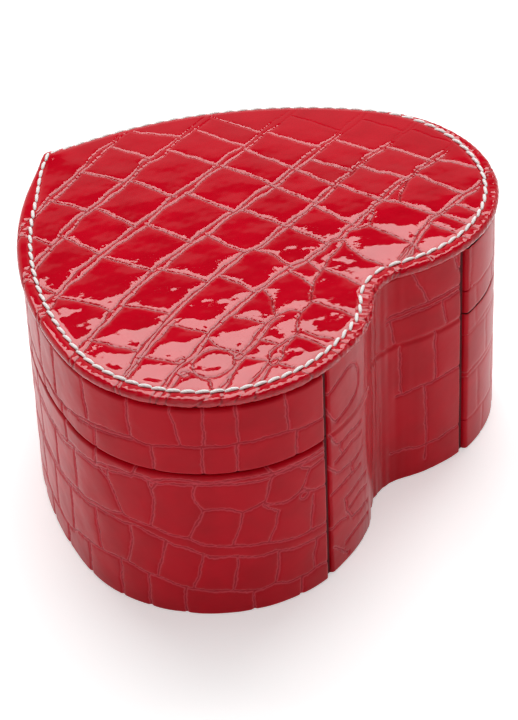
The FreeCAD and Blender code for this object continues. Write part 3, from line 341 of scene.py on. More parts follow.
# Depth and half width of single and double creases, and how a scale's face falls towards them
CREASE_DEPTH, CREASE_HALF = 0.21, 0.4
TWIN_DEPTH, TWIN_HALF = 0.15, 0.32
PILLOW_DEPTH, PILLOW_LENGTH = 0.09, 1.5
CREASE_REACH = 4.0
# How far the paths waver, slowly and finely, and the height of slow and fine waves in the leather
WAVER_SLOW, WAVER_FINE = 0.22, 0.12
WAVE_SLOW, WAVE_FINE = 0.040, 0.006
# What is added to the distance from a crease where the plate pressed faintly, so that the crease's painted
# shade and highlight fade
FAINT = 0.45


def pressed(x, y, creases, twins):
    """Height of the embossed leather, and each point's distance to a crease. The paths waver a little, the
    crease is a bell-shaped groove, and the scale's own face falls gently towards it like a pillow."""
    wx = x + WAVER_SLOW * ripple(x, y, 5.0, 0.3) + WAVER_FINE * ripple(x, y, 1.3, 1.1)
    wy = y + WAVER_SLOW * ripple(x, y, 5.5, 2.0) + WAVER_FINE * ripple(x, y, 1.5, 2.9)
    single = crease_distance(wx, wy, creases, CREASE_REACH)
    paired = crease_distance(wx, wy, twins, CREASE_REACH)
    groove = np.minimum(-CREASE_DEPTH * np.exp(-((single / CREASE_HALF) ** 2)),
                        -TWIN_DEPTH * np.exp(-((paired / TWIN_HALF) ** 2)))
    nearest = np.minimum(single, paired)
    pillow = -PILLOW_DEPTH * np.exp(-nearest / PILLOW_LENGTH)
    waves = WAVE_SLOW * ripple(x, y, 11.0, 0.9) + WAVE_FINE * ripple(x, y, 3.1, 1.9)
    return groove + pillow + waves, nearest


# %% [markdown]
# ## Materials
# A finish is described by what it is: a red vinyl-coated leatherette, pressed and lacquered on the lid and
# duller on the sides, cotton thread, cut velvet, felt, board, glass and the metals of the movement.
# Colours are written as sRGB hex, as a paint chart gives them, and one function turns them into the linear
# values that the shader works with. One more function adds a node, with its settings and links.

# %% Helpers for colours and nodes


def linear(code):
    """An sRGB hex colour as linear red, green, blue and 1."""
    value = np.array([int(code[k:k + 2], 16) for k in (1, 3, 5)]) / 255
    return (*np.where(value <= 0.04045, value / 12.92, ((value + 0.055) / 1.055) ** 2.4), 1.0)


def add_node(tree, kind, settings=None, links=None):
    """A node of that kind. Settings go to its properties, or else to its input sockets, and stops, as pairs
    of place and hex colour, to its colour ramp. Links go to its inputs."""
    made = tree.nodes.new(kind)
    for key, value in (settings or {}).items():
        if key == "stops":
            elements = made.color_ramp.elements
            while len(elements) < len(value):
                elements.new(0.5)
            for element, (place, code) in zip(elements, value):
                element.position, element.color = place, linear(code)
        elif isinstance(key, str) and hasattr(made, key):
            setattr(made, key, value)
        else:
            made.inputs[key].default_value = value
    for key, socket in (links or {}).items():
        tree.links.new(socket, made.inputs[key])
    return made


def new_finish(name, settings):
    """A material with one Principled shader that has those socket values; returns material, tree and
    shader."""
    material = bpy.data.materials.new(name)
    material.use_nodes = True
    shader = material.node_tree.nodes["Principled BSDF"]
    for key, value in settings.items():
        shader.inputs[key].default_value = value
    return material, material.node_tree, shader


# %% Leather finishes
LEATHER_CLOUD, LEATHER_WAVE, LEATHER_GRAIN = 9 * MM, 3.2 * MM, 0.6 * MM


def leatherette(name, face, deep, line, painted_crease_highlight, settings, wave_mm, grain_mm):
    """Lacquered red leatherette: the face colour, slow cloudy changes about 9 mm wide towards a deeper tone,
    and by the distance to the nearest crease a painted shade line in it and a paler painted highlight along
    its edges. The lacquer has shallow waves of about 3 mm and a pressed grain of about 0.6 mm, as high as the
    two last numbers say."""
    material, tree, shader = new_finish(name, {"IOR": 1.5, "Coat IOR": 1.5, **settings})
    place = add_node(tree, "ShaderNodeTexCoord").outputs["Object"]
    cloud = add_node(tree, "ShaderNodeTexNoise", {"Scale": 1 / LEATHER_CLOUD, "Detail": 3.0},
                     {"Vector": place})
    tone = add_node(tree, "ShaderNodeValToRGB", {"stops": [(0.3, deep), (0.62, face)]},
                    {"Fac": cloud.outputs["Fac"]})
    crease = add_node(tree, "ShaderNodeAttribute", {"attribute_name": "crease"}).outputs["Fac"]
    share = add_node(tree, "ShaderNodeMapRange", {
        "interpolation_type": "SMOOTHSTEP", "From Min": 0.2, "From Max": 0.6, "To Min": 0.8, "To Max": 0.0,
    }, {"Value": crease})
    # Painted shade in each crease and a painted highlight along its edges, by the distance to it
    groove = add_node(tree, "ShaderNodeValToRGB", {"stops": [(0.14, line), (0.32, painted_crease_highlight)]}, {"Fac": crease})
    colour = add_node(tree, "ShaderNodeMix", {"data_type": "RGBA"},
                      {0: share.outputs[0], 6: tone.outputs["Color"], 7: groove.outputs["Color"]})
    tree.links.new(colour.outputs[2], shader.inputs["Base Color"])
    waves = add_node(tree, "ShaderNodeTexNoise", {"Scale": 1 / LEATHER_WAVE, "Detail": 3.0},
                     {"Vector": place})
    waved = add_node(tree, "ShaderNodeBump", {"Distance": wave_mm * MM}, {"Height": waves.outputs["Fac"]})
    grain = add_node(tree, "ShaderNodeTexNoise", {"Scale": 1 / LEATHER_GRAIN, "Detail": 2.0},
                     {"Vector": place})
    pressed_in = add_node(tree, "ShaderNodeBump", {"Distance": grain_mm * MM},
                          {"Height": grain.outputs["Fac"], "Normal": waved.outputs["Normal"]})
    tree.links.new(pressed_in.outputs["Normal"], shader.inputs["Normal"])
    return material


# The line colour is painted shade in the creases; the edge colour is close to the face colour here
patent_leather = leatherette(
    "patent_leatherette_red", "#CC041F", "#C0031B", "#980213", "#C40A20",
    {"Roughness": 0.45, "Specular IOR Level": 0.0, "Coat Weight": 1.0, "Coat Roughness": 0.03}, 0.008, 0.001)
# Painted shade in the creases and a pale painted highlight along their edges
side_leather = leatherette(
    "satin_leatherette_red", "#CC051F", "#BE041B", "#B41A2A", "#E25563",
    {"Roughness": 0.28, "Specular IOR Level": 0.165, "Coat Weight": 0.0}, 0.03, 0.006)
print("leather finishes:", patent_leather.name, side_leather.name)

# %% [markdown]
# ## The lid's top panel
# One sheet of leather covers the foam on the lid's board and is turned down round the edge, which makes a
# rolled lip that stands a little proud of the sides. Its scales run in rows across the heart, with double
# creases between rows and single ones across, and near the right lobe they break up into small rounded
# scales.

# %% Double creases of the top, as the gap between the two lines and their middle path in plan millimetres
TOP_ROWS = [
    (1.1, [(-62, 44.6), (-50, 46.4), (-45, 46.1), (-41, 45.8), (-35, 45.4), (-30, 45.0), (-28, 45.5),
           (-24, 46.0), (-20.5, 46.7), (-18.5, 47.6), (-14, 48.4), (-10, 49.2), (-5, 51)]),
    (1.2, [(-72, 30.2), (-53, 30.2), (-48, 29.3), (-44, 29.8), (-40, 29.2), (-35, 29.3), (-30, 29.6),
           (-25, 29.8), (-20, 30), (-15, 30), (-10, 30.4), (-8, 29.5), (-5, 29.3), (0, 29.2), (3, 28.6),
           (6, 27.8), (10, 27.1), (15, 26.8), (20, 26.4), (25, 26.3), (30, 26.4), (35, 26.5), (40, 26.9),
           (44, 27.8), (48, 28.6), (52, 28.9), (56, 28.9), (60, 29.5), (65, 30.8), (73, 31.8)]),
    (1.1, [(-73, 16), (-53, 16), (-48, 15.3), (-44, 15), (-40, 15.3), (-36, 15.6), (-33, 15.4),
           (-28, 15.8), (-24, 16), (-20, 16.2), (-16.5, 16.3), (-12, 16), (-7, 15.8), (-3, 15.7),
           (2, 15.9), (5, 15.5), (7, 14.5), (8.5, 13.9), (12, 13.9), (17, 13.7), (20, 13.9), (25, 13.9),
           (30, 14), (35, 14.2), (40, 14.7), (45, 15.5), (50, 16.3), (55, 17.2), (58, 18.2), (62, 19.2),
           (66, 20.4), (73, 22)]),
    (1.6, [(-70, 1.5), (-48, 2.2), (-45, 1.7), (-42, 1.9), (-38, 1.8), (-33, 2), (-29, 1.9), (-25, 2.2),
           (-21, 2.3), (-18, 1.9), (-14, 1.4), (-10, 1.3), (-6, 1.2), (-4, 0.6), (0, 0.4), (5, 0.5),
           (10, 0.2), (15, -0.1), (20, -0.1), (25, 0), (30, 0), (35, 0.4), (40, 0.9), (45, 1.7),
           (50, 2.6), (55, 3.4), (60, 4.2), (72, 6.2)]),
    (1.8, [(-62, -15), (-42, -15.5), (-38, -15.2), (-33, -15), (-29, -15.3), (-25, -15.6), (-20, -15.5),
           (-15, -15.6), (-8, -15.5), (-3, -15.8), (2, -15.9), (8, -15.8), (13, -15.5), (20, -15.7),
           (27, -15.9), (32, -15.8), (38, -15.5), (44, -14.9), (50, -14.3), (56, -13.2), (66, -11)]),
    (1.5, [(-50, -32.5), (-33, -32.5), (-25, -32.5), (-18, -32.1), (-14, -32), (-11, -33), (-7, -32.2),
           (-3, -31.5), (2, -31.3), (8, -31), (14, -31), (18, -31.3), (24, -30.4), (30, -29.2),
           (36, -28.3), (42, -27.2), (46, -26.2), (54, -24)]),
    (1.4, [(-32, -48.4), (-12, -46.2), (-9, -46.5), (-4, -45.5), (2, -44.6), (8, -43.8), (14, -43.2),
           (20, -42.5), (27, -41.2), (38, -39)]),
]

# %% Single creases of the top
TOP_CREASES = [
    # Above the first row
    [(-40, 55), (-40, 50), (-39.5, 46.2)], [(-34, 56.5), (-33.7, 48), (-33.8, 45.6)],
    [(-29, 57), (-28.7, 46)], [(-16, 55), (-17, 51.5), (-18, 48.8)],
    [(-18.5, 47.2), (-16, 47), (-13, 47.3), (-10, 48)], [(-18.5, 47.8), (-16, 49), (-12.5, 49.4)],
    # First to second row
    [(-57, 41), (-56.5, 37.5), (-55.5, 34), (-54.5, 31)], [(-44.8, 45.5), (-44.8, 38), (-45.5, 30)],
    [(-32.7, 45), (-32, 39), (-31.7, 35), (-30.3, 30)], [(-19, 46.8), (-18.8, 40), (-19, 33.8)],
    [(-7.2, 50), (-7, 40), (-8.5, 35), (-10.5, 31)], [(-19.5, 33.5), (-22, 32.2), (-25, 30.6)],
    [(-18.6, 33.4), (-16, 31.6), (-14, 30.6)], [(-31.8, 34), (-35, 32.5), (-38, 31.2), (-43, 30)],
    # Second to third row
    [(-63.5, 29), (-63, 17)], [(-52.8, 30), (-52.8, 25), (-52.3, 16.5)],
    [(-42.5, 29.4), (-41.8, 25), (-40.5, 20), (-40.4, 15.8)], [(-29.5, 29.4), (-29.7, 24), (-29.8, 16)],
    [(-16.8, 29.9), (-17.6, 24), (-18.6, 16.5)], [(-6.5, 29.3), (-7, 24), (-7.4, 16)],
    [(6.7, 27.6), (5.5, 23), (5, 19), (5.6, 15.3)], [(20.2, 26.2), (19.8, 21), (19.7, 14.5)],
    [(40.5, 26.5), (41.5, 22), (43, 16.5)], [(54, 28), (55, 24.5), (56, 21), (57.5, 18.4)],
    # Third to fourth row
    [(-61, 15), (-60, 3)], [(-48.3, 15), (-48, 10), (-47.4, 3)], [(-37.2, 15.3), (-36.7, 10), (-35.7, 3)],
    [(-29, 15.5), (-29.3, 9), (-30, 2.5)], [(-20, 16), (-19.8, 9), (-20.4, 2.5)],
    [(-7, 15.5), (-7.1, 9), (-6.9, 2)], [(8, 13.8), (8.1, 9), (7.5, 4), (7, 1)],
    [(23.4, 13.5), (24, 8), (25.8, 0.5)], [(39.5, 14), (40.5, 9), (43, 2.2)],
    [(55.5, 16.5), (57, 11), (58.5, 4.5)],
    [(41, 16.6), (46, 17.7), (51, 18.2), (55, 18.9), (58, 19.4), (62, 20.4), (66, 21.6)],
    # Fourth to fifth row
    [(-52, 1.5), (-51, -14)], [(-42.3, 1.5), (-41.2, -5), (-40.5, -14.5)],
    [(-30, 1.5), (-30, -6), (-30.4, -14.5)], [(-20.6, 2), (-21, -6), (-20.5, -14.8)],
    [(-5, 0.6), (-4.9, -6), (-5.1, -14.8)], [(12, -0.2), (12, -6), (12, -14.8)],
    [(27.3, -0.5), (28.3, -6), (29.5, -14.8)], [(46.2, 1.5), (47, -6), (49.3, -13.8)],
    # Fifth to sixth row
    [(-39.5, -16), (-39, -24), (-38.5, -32)], [(-31.4, -15.5), (-31, -24), (-31, -32)],
    [(-20.2, -16), (-19.5, -24), (-18.8, -31.5)], [(-1.9, -16.5), (-1.9, -24), (-1.7, -31)],
    [(14.4, -16.5), (13.7, -24), (13.4, -30.5)], [(28.9, -16.5), (28.4, -23), (28.1, -29.5)],
    [(48, -15), (48, -19), (47.5, -25)],
    # Sixth row to the tip
    [(-25.8, -32.8), (-24.5, -37), (-22.5, -41), (-21, -46)], [(-13, -33), (-12.4, -39), (-11.8, -45.5)],
    [(0, -32.3), (0.6, -38), (2, -44)], [(15.5, -31.5), (16, -37), (17.2, -42.5)],
    [(32.5, -29.5), (32.6, -34), (33, -39)],
    # The right lobe, where the rows break up
    [(-9, 32), (-6, 32.8), (-2, 33), (1, 34), (5, 34.8), (10, 36.4), (14, 39), (16, 40.4), (21, 40.6),
     (25, 42.3), (28, 44.5), (30, 44.9), (34, 45.3), (37, 46.9), (39, 47.6)],
    [(42.2, 46.9), (45, 47.6), (48, 48.4), (50.5, 49.4), (54, 51)],
    [(30, 44.5), (34, 43.9), (36, 43.7), (38.5, 43.9), (40.5, 45.2), (43.5, 46), (47, 46.5), (51, 46.9),
     (58, 48)],
    [(3, 51), (2.7, 43), (2.4, 40), (2.7, 34.6)], [(10, 36.4), (9, 33), (8.3, 28)],
    [(4, 34.6), (3, 32), (2, 29.2)], [(14.8, 56), (14.6, 48), (15, 44), (15.5, 40.5)],
    [(28.8, 59), (28.8, 48), (28.9, 45.2)], [(24.4, 58), (25.2, 53.5), (26.3, 50), (26.6, 46)],
    [(39.2, 59), (39.6, 55), (40, 50), (40.2, 48)], [(20.5, 40.4), (21.5, 37.5), (24, 36.3), (26, 36.2)],
    [(25, 35.8), (22, 32.5), (19.5, 30.5), (18.5, 27.6)],
    [(26, 36.2), (31, 35.9), (35, 36.9), (40, 37.7), (42.2, 37.9)],
    [(25.5, 37.4), (30, 37.3), (35, 38.4), (40, 39.2), (42.4, 39.2)],
    [(29.3, 35.9), (30.2, 32), (31.5, 28)], [(34.3, 44), (34.8, 41), (35.4, 38.4)],
    [(41, 45.4), (42, 42.5), (43.2, 40)], [(42.3, 37.6), (42.7, 35), (43.5, 32), (43, 30), (42, 28.5)],
    [(43.5, 40), (47, 40.4), (50, 41.1), (54, 41.6), (58, 41.9), (62, 41.6), (70, 41)],
    [(49, 41), (53, 42.2), (57, 43.8), (62, 46)],
    [(54.8, 33), (55.4, 35.2), (55, 38.4), (56.5, 39.8), (58.6, 41.4)],
    [(54.6, 32.4), (57.4, 31), (60, 31.8), (64, 33.2), (72, 35.4)],
]
TOP_OVALS = [(49.1, 34.9, 5.8, 4.7), (40.5, 46.8, 1.6, 1.1), (43.4, 38.4, 1.1, 0.9), (56.3, 31.6, 1.2, 1.2),
             (53, 27.9, 1.3, 0.8)]

top_twins = [path for gap, row in TOP_ROWS for path in twin(row, gap)]
top_creases = [smooth_path(path) for path in TOP_CREASES] + [oval(*size) for size in TOP_OVALS]
print(len(top_creases), "single creases and", len(top_twins), "of double ones on the top")

# %% [markdown]
# ### The panel and its rolled lip
# The panel is a square grid laid on the heart: each ring of the square is a smaller copy of the outline. The
# foam under it is thickest in the middle and has a soft hump in the left lobe, which tilts the scales there
# towards the back. The lip is a half round whose embossing carries on from the top, as if the leather were
# unrolled.

# %% Sizes of the panel
RINGS = 310
PANEL_INSET, BORDER_OUT, LIP_ROUND = 2.7, 0.3, 1.35
STITCH_INSET, STITCH_PITCH = 3.6, 3.9
TOP_FACE = LID_TOP - 0.05
CROWN = 0.38
# The hump of the foam: plan position, spread and height
HUMP_X, HUMP_Y, HUMP_SPREAD, HUMP_HEIGHT = -31.0, 32.0, 13.0, 0.55

panel_arcs = heart_arcs(PANEL_INSET, PANEL_INSET)
panel_round = panel_arcs["start"][-1]
panel_xy, panel_ring, panel_numbers, border, border_path = heart_grid(panel_arcs, RINGS, BORDER_OUT)
print("panel", round(panel_round, 1), "mm round, with", panel_numbers.size, "points")

# %% How the leather lies in the cleft, along the seam and at the tip
# The span over the cleft: how high, how far from the cleft's middle towards the near lobe, and half its width
BRIDGE_HEIGHT, BRIDGE_ASIDE, BRIDGE_HALF = 1.75, 10.0, 13.0
# Path lengths from the tip: where the pull on the seam ends on the left, the stretch it fades in there,
# and where it ends on the right
DRAWN_LEFT, DRAWN_FADE, DRAWN_RIGHT = 135.0, 50.0, 25.0
# How far the seam moves out with the span, and where it is drawn
SEAM_BRIDGED, SEAM_DRAWN = 1.25, 2.7
# The leather's point: how far it stands up and out, its place and its spread
TIP_LIFT, TIP_REACH, TIP_Y, TIP_SPREAD = 0.55, 1.0, -60.0, 6.0


def bridged(path, whole):
    """How far leather stands off in the cleft, which it spans instead of following: a bell 26 mm wide, with
    its middle on the side of the near lobe."""
    return BRIDGE_HEIGHT * np.exp(-(((path - whole / 2 + BRIDGE_ASIDE) / BRIDGE_HALF) ** 2))


def drawn(path):
    """How far the seam is drawn to the left flank, where the panel was sewn off its place: wholly at the tip
    and along that flank, fading out round the lobe and along the right flank."""
    share = np.maximum((DRAWN_LEFT - (panel_round - path)) / DRAWN_FADE, 1 - path / DRAWN_RIGHT)
    share = np.clip(share, 0, 1)
    return share**2 * (3 - 2 * share)


def stitch_line(path):
    """Plan points and outward directions of the seam, nearer to the lip in the cleft and on the left
    flank."""
    moved = SEAM_BRIDGED * bridged(path, panel_round) + SEAM_DRAWN * drawn(path)
    return walk(panel_arcs, path, PANEL_INSET - STITCH_INSET + moved)


def tip_lift(x, y):
    """How far the leather's point stands up at the tip: a bell round the tip."""
    return TIP_LIFT * np.exp(-(x**2 + (y - TIP_Y) ** 2) / TIP_SPREAD**2)


seam_path = stitch_line(np.linspace(0, panel_round, 500))[0]
print("seam from y =", round(seam_path[:, 1].min(), 1), "to", round(seam_path[:, 1].max(), 1), "mm")

# %% The embossing of the top
# Where the plate pressed less: a direction in plan, the distance from the middle where the pressing ends,
# and the width that it fades over, for the left flank and for the margin of the left lobe
PRESSED_LESS = [((0.79, 0.61), 60.0, 40.0), ((1.0, 0.31), 51.2, 5.0)]
PRESSED_LEAST = 0.12
# Beside the seam: how far it is looked for, the dip and its half width, and where the embossing is calm
SEAM_SEEN, SEAM_DIP, SEAM_HALF = 3.0, 0.28, 0.75
CALM_FROM, CALM_FADE, CALM_LEAST = 0.3, 1.2, 0.25


def embossed_top(x, y):
    """The top's pressed height and crease distance. The plate pressed less towards the left flank and hardly
    at all on the margin of the left lobe, and the embossing is calmer beside the seam, which pulls the
    leather down."""
    height, distance = pressed(x, y, top_creases, top_twins)
    seam = crease_distance(x, y, [seam_path], SEAM_SEEN)
    flank, margin = [(ends + way[0] * x + way[1] * y) / fade for way, ends, fade in PRESSED_LESS]
    bite = np.clip(np.minimum(flank, margin), PRESSED_LEAST, 1)
    height = height * bite * np.clip((seam - CALM_FROM) / CALM_FADE, CALM_LEAST, 1)
    return height - SEAM_DIP * np.exp(-((seam / SEAM_HALF) ** 2)), distance + FAINT * (1 - bite)


panel_height, panel_crease = embossed_top(panel_xy[..., 0], panel_xy[..., 1])
from_hump = np.hypot(panel_xy[..., 0] - HUMP_X, panel_xy[..., 1] - HUMP_Y) / HUMP_SPREAD
foam = CROWN * (1 - panel_ring**3) + HUMP_HEIGHT * np.exp(-0.5 * from_hump**2) * (1 - panel_ring**6)
foam += tip_lift(panel_xy[..., 0], panel_xy[..., 1])
panel_points = np.dstack((panel_xy, TOP_FACE + panel_height + foam)).reshape(-1, 3)
print("foam up to", round(foam.max(), 2), "mm, creases down to", round(panel_height.min(), 2), "mm")

# %% The rolled lip
LIP_STEPS, LIP_END = 19, 0.1
# Folds of the turned leather: where they start round the lobes, the stretch they fade in, their height there,
# in the cleft as a share of the span, and their length
FOLDS_FROM, FOLDS_FADE, LOBE_FOLDS, CLEFT_FOLDS, FOLD_LENGTH = -5.0, 20.0, 0.06, 0.16, 2.6

lip_angle = np.concatenate((np.linspace(math.pi / 2, -math.pi / 2, LIP_STEPS), [-math.pi / 2]))
lip_out = PANEL_INSET - LIP_ROUND + LIP_ROUND * np.cos(lip_angle)
lip_out[-1] = LIP_END
unrolled = PANEL_INSET - LIP_ROUND + LIP_ROUND * (math.pi / 2 - lip_angle)
flat_xy, _ = walk(panel_arcs, border_path[None, :], unrolled[:, None])
lip_height, lip_crease = embossed_top(flat_xy[..., 0], flat_xy[..., 1])
lip_bridge = bridged(border_path, panel_round)
gathered = LOBE_FOLDS * np.clip((flat_xy[..., 1] - FOLDS_FROM) / FOLDS_FADE, 0, 1) + CLEFT_FOLDS * lip_bridge
fold_path, fold_round = np.broadcast_arrays(border_path, 2 * unrolled[:, None])
lip_height += gathered * ripple(fold_path, fold_round, FOLD_LENGTH, 0.4)
lip_height[-2:] = 0
lip_reach = lip_out[:, None] + lip_height * np.cos(lip_angle)[:, None] + lip_bridge
lip_xy, _ = walk(panel_arcs, border_path[None, :], lip_reach)
from_tip = np.minimum(border_path, panel_round - border_path)
lip_xy[..., 1] -= TIP_REACH * np.exp(-((from_tip / TIP_SPREAD) ** 2))
lip_z = TOP_FACE - LIP_ROUND + (LIP_ROUND + lip_height) * np.sin(lip_angle)[:, None]
lip_z += tip_lift(lip_xy[..., 0], lip_xy[..., 1]) * (1 + np.sin(lip_angle)[:, None]) / 2
lip_points = np.dstack((lip_xy, np.maximum(lip_z, LIP_BOTTOM))).reshape(-1, 3)
print("lip of", len(lip_points), "points, down to", round(lip_points[:, 2].min(), 2), "mm")

# %% Panel, lip and underside as one padded piece
lip_numbers = np.vstack((border, len(panel_points) + np.arange(len(lip_points)).reshape(len(lip_angle), -1)))
lip_numbers = np.hstack((lip_numbers, lip_numbers[:, :1]))
centre = np.full(len(border), len(panel_points) + len(lip_points))
underside = np.column_stack((lip_numbers[-1, :-1], centre, lip_numbers[-1, 1:]))
top_panel = make_piece(
    "lid_top_leather", np.vstack((panel_points, lip_points, [(0, 0, LIP_BOTTOM)])),
    [grid_faces(panel_numbers), grid_faces(lip_numbers), underside], patent_leather,
    {"crease": np.concatenate((panel_crease.ravel(), lip_crease.ravel(), [CREASE_REACH]))})
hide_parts("lid_top_cover", "lid_padding")
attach(top_panel, "lid")

# %% [markdown]
# ## The saddle stitching
# A white waxed thread runs round the lid a few millimetres in from the lip. Each stitch is a short fat grain
# that dives into the leather at both ends and leans a little, because two needles pass through each hole.
# One stitch is an ellipsoid on a small grid; numpy copies it to every station at once.

# %% Where the stitches are
STITCH_LENGTH, STITCH_THICK, STITCH_LEAN = 3.6, 0.95, math.radians(9)
# A stitch is flattened, blunt at its ends, lies a little over the panel, and dives in at both ends
STITCH_FLAT, STITCH_BLUNT, STITCH_OVER, STITCH_DIVE = 0.8, 0.5, 0.12, 0.30
# How far the seam is sunk where it is drawn, on the left and the right flank, and its clear space at the tip
SUNK_LEFT, SUNK_RIGHT, TIP_CLEAR = 0.4, 0.1, 0.8

stitch_count = int(round(panel_round / STITCH_PITCH))
stitch_path = (np.arange(stitch_count) + 0.5) / stitch_count * panel_round
stitch_xy, stitch_out = stitch_line(stitch_path)
on_right = stitch_path < panel_round / 2
kept = (stitch_xy[:, 1] > 0) | (np.where(on_right, stitch_xy[:, 0], -stitch_xy[:, 0]) > TIP_CLEAR)
stitch_sunk = (np.where(on_right, SUNK_RIGHT, SUNK_LEFT) * drawn(stitch_path))[kept]
stitch_xy, stitch_out = stitch_xy[kept], stitch_out[kept]
print(len(stitch_xy), "stitches")

# %% The stitches
bead_u, bead_v = np.meshgrid(np.linspace(0, math.pi, 9), np.linspace(0, 2 * math.pi, 9)[:-1], indexing="ij")
bead_wide = np.sin(bead_u) ** STITCH_BLUNT * STITCH_THICK / 2
bead_z = STITCH_FLAT * bead_wide * np.sin(bead_v) - STITCH_DIVE * np.cos(bead_u) ** 2
bead = np.stack((-np.cos(bead_u) * STITCH_LENGTH / 2, bead_wide * np.cos(bead_v), bead_z), -1)
lean_cos, lean_sin = math.cos(STITCH_LEAN), math.sin(STITCH_LEAN)
along = np.column_stack((-stitch_out[:, 1], stitch_out[:, 0]))
ahead = (along * lean_cos - stitch_out * lean_sin)[:, None, None]
aside = (stitch_out * lean_cos + along * lean_sin)[:, None, None]
thread_xy = stitch_xy[:, None, None] + bead[..., :1] * ahead + bead[..., 1:2] * aside
thread_z = LID_TOP + STITCH_OVER + bead[..., 2] + (tip_lift(*stitch_xy.T) - stitch_sunk)[:, None, None]
thread_points = np.concatenate((thread_xy, thread_z[..., None]), -1)
one_stitch = grid_faces(np.arange(bead_u.size).reshape(bead_u.shape).T, wrap=True)
thread_faces = copied_faces(one_stitch, len(stitch_xy), bead_u.size)

# Waxed cotton thread: matt, off-white, with the twist of two plies, drawn 1.6 mm long so that it shows
thread_finish, tree, shader = new_finish("waxed_cotton_thread", {"Roughness": 0.6})
place = add_node(tree, "ShaderNodeTexCoord").outputs["Object"]
twist = add_node(tree, "ShaderNodeTexWave", {"Scale": 1 / (1.6 * MM), "Distortion": 1.0}, {"Vector": place})
twist = twist.outputs["Fac"]
ply = add_node(tree, "ShaderNodeBump", {"Strength": 0.4, "Distance": 0.08 * MM}, {"Height": twist})
tree.links.new(ply.outputs["Normal"], shader.inputs["Normal"])
tone = add_node(tree, "ShaderNodeValToRGB", {"stops": [(0.0, "#F2EAE6"), (0.6, "#FFFCFA")]}, {"Fac": twist})
tree.links.new(tone.outputs["Color"], shader.inputs["Base Color"])

thread = make_piece("lid_stitching", thread_points.reshape(-1, 3), [thread_faces], thread_finish)
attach(thread, "lid")

# %% [markdown]
# ## The side leather
# The sides are two bands, one on the lid and one on the base, with rows of brick-like scales round them. Both
# stop in the back at the hinge strip, where their ends are turned under and leave a narrow dark seam.
# A band is a grid of path length and height on the wall. Its thickness swells from nothing at the border in a
# quarter circle, which makes the turned edges, and the embossing is pressed into what lies between.

# %% Where the seams are, and creases carried on round the box
WALL_INSET = 2.3
LEATHER = 1.4
SEAM_GAP = 1.6
SEAM_NEAR_X, SEAM_FAR_X = 33.4, -27.6
# The seams are looked for behind this distance from the middle
BEHIND = 40.0
side_arcs = heart_arcs(WALL_INSET, LEATHER)
side_round = side_arcs["start"][-1]
dense = np.linspace(0, side_round, 20001)
dense_xy, _ = walk(side_arcs, dense, LEATHER)
behind = dense_xy[:, 1] > BEHIND
seam_near, seam_far = (
    dense[behind][np.argmin(np.abs(dense_xy[behind, 0] - x))] for x in (SEAM_NEAR_X, SEAM_FAR_X))
band_length = seam_near + side_round - seam_far
# Row lines run on past both ends of a band
PAST_SEAM = 5
FAR_END = -band_length - PAST_SEAM
print("bands", round(band_length, 1), "mm long, hinge strip", round(seam_far - seam_near, 1), "mm wide")


def carry_on(row, height, wave):
    """A row line seen near the seam, carried on round the box at about that height with a slow wave."""
    on = np.arange(FAR_END, row[0][0] - 12, 14.0)
    return [(u, height + wave * math.sin(u * 0.09)) for u in on] + row


def level_line(height):
    """A row line that runs level round the box."""
    return [(FAR_END, height), (PAST_SEAM, height)]


def height_on(row, place):
    """The height of a row line at a place along the side."""
    line = np.array(row)
    return np.interp(place, line[:, 0], line[:, 1])


def bricks(first, rows, widths):
    """Cross creases between two row lines from first on round the box, at widths taken in turn. Their feet
    lean by up to 0.9 mm and their middles by up to 0.3 mm, by two sine waves."""
    places = first - np.cumsum(np.resize(widths, 60))
    paths = []
    for k, u in enumerate(places[places > FAR_END]):
        foot = u + 0.9 * math.sin(2.1 * k)
        over, under = height_on(rows[0], u), height_on(rows[1], foot)
        middle = ((u + foot) / 2 + 0.3 * math.sin(3.3 * k), (over + under) / 2)
        paths.append(smooth_path([(u, over), middle, (foot, under)]))
    return paths


# %% Creases of the lid's band, in millimetres from the near seam and in height
LID_HIGH, LID_LOW = level_line(LID_BAND[1] + 1), level_line(LID_BAND[0] - 1)
LID_ROW = carry_on(
    [(-82, 49), (-75, 50.2), (-70, 51.4), (-66, 52.2), (-62, 53.1), (-59, 53.3), (-55, 53.8), (-52.5, 54),
     (-51, 53.3), (-47.5, 52.9), (-44, 53.4), (-40.5, 54), (-38, 53.9), (-34, 53.9), (-30, 54), (-26, 54),
     (-20, 54.2), (-15, 54.1), (-12.5, 53.8), (-10, 53), (-5, 52.7), (5, 52.2)], 51.0, 1.1)
LID_CREASES = [
    [(-71, 50.2), (-66, 51.1), (-62, 52), (-57, 52.6), (-52, 53.2)], [(-69, 67), (-68, 60), (-66.6, 53)],
    [(-53.5, 67), (-53.3, 60), (-52.7, 54)], [(-42.3, 67), (-41, 60), (-39.8, 54)],
    [(-33.8, 67), (-34, 54)], [(-25.7, 67), (-25.6, 54)], [(-13, 67), (-12.8, 60), (-12.2, 54)],
    [(-64.5, 52.4), (-64.5, 44)], [(-47.3, 53), (-46.7, 44)], [(-34.5, 54), (-34.5, 44)],
    [(-26, 54), (-26, 44)], [(-10.1, 53), (-10.1, 44)],
]
lid_creases = [smooth_path(path) for path in [LID_ROW] + LID_CREASES]
lid_creases += bricks(-69, (LID_HIGH, LID_ROW), (15, 11, 13, 9.5, 14))
lid_creases += bricks(-64.5, (LID_ROW, LID_LOW), (16, 12.5, 14, 11))
print(len(lid_creases), "creases on the lid's band")

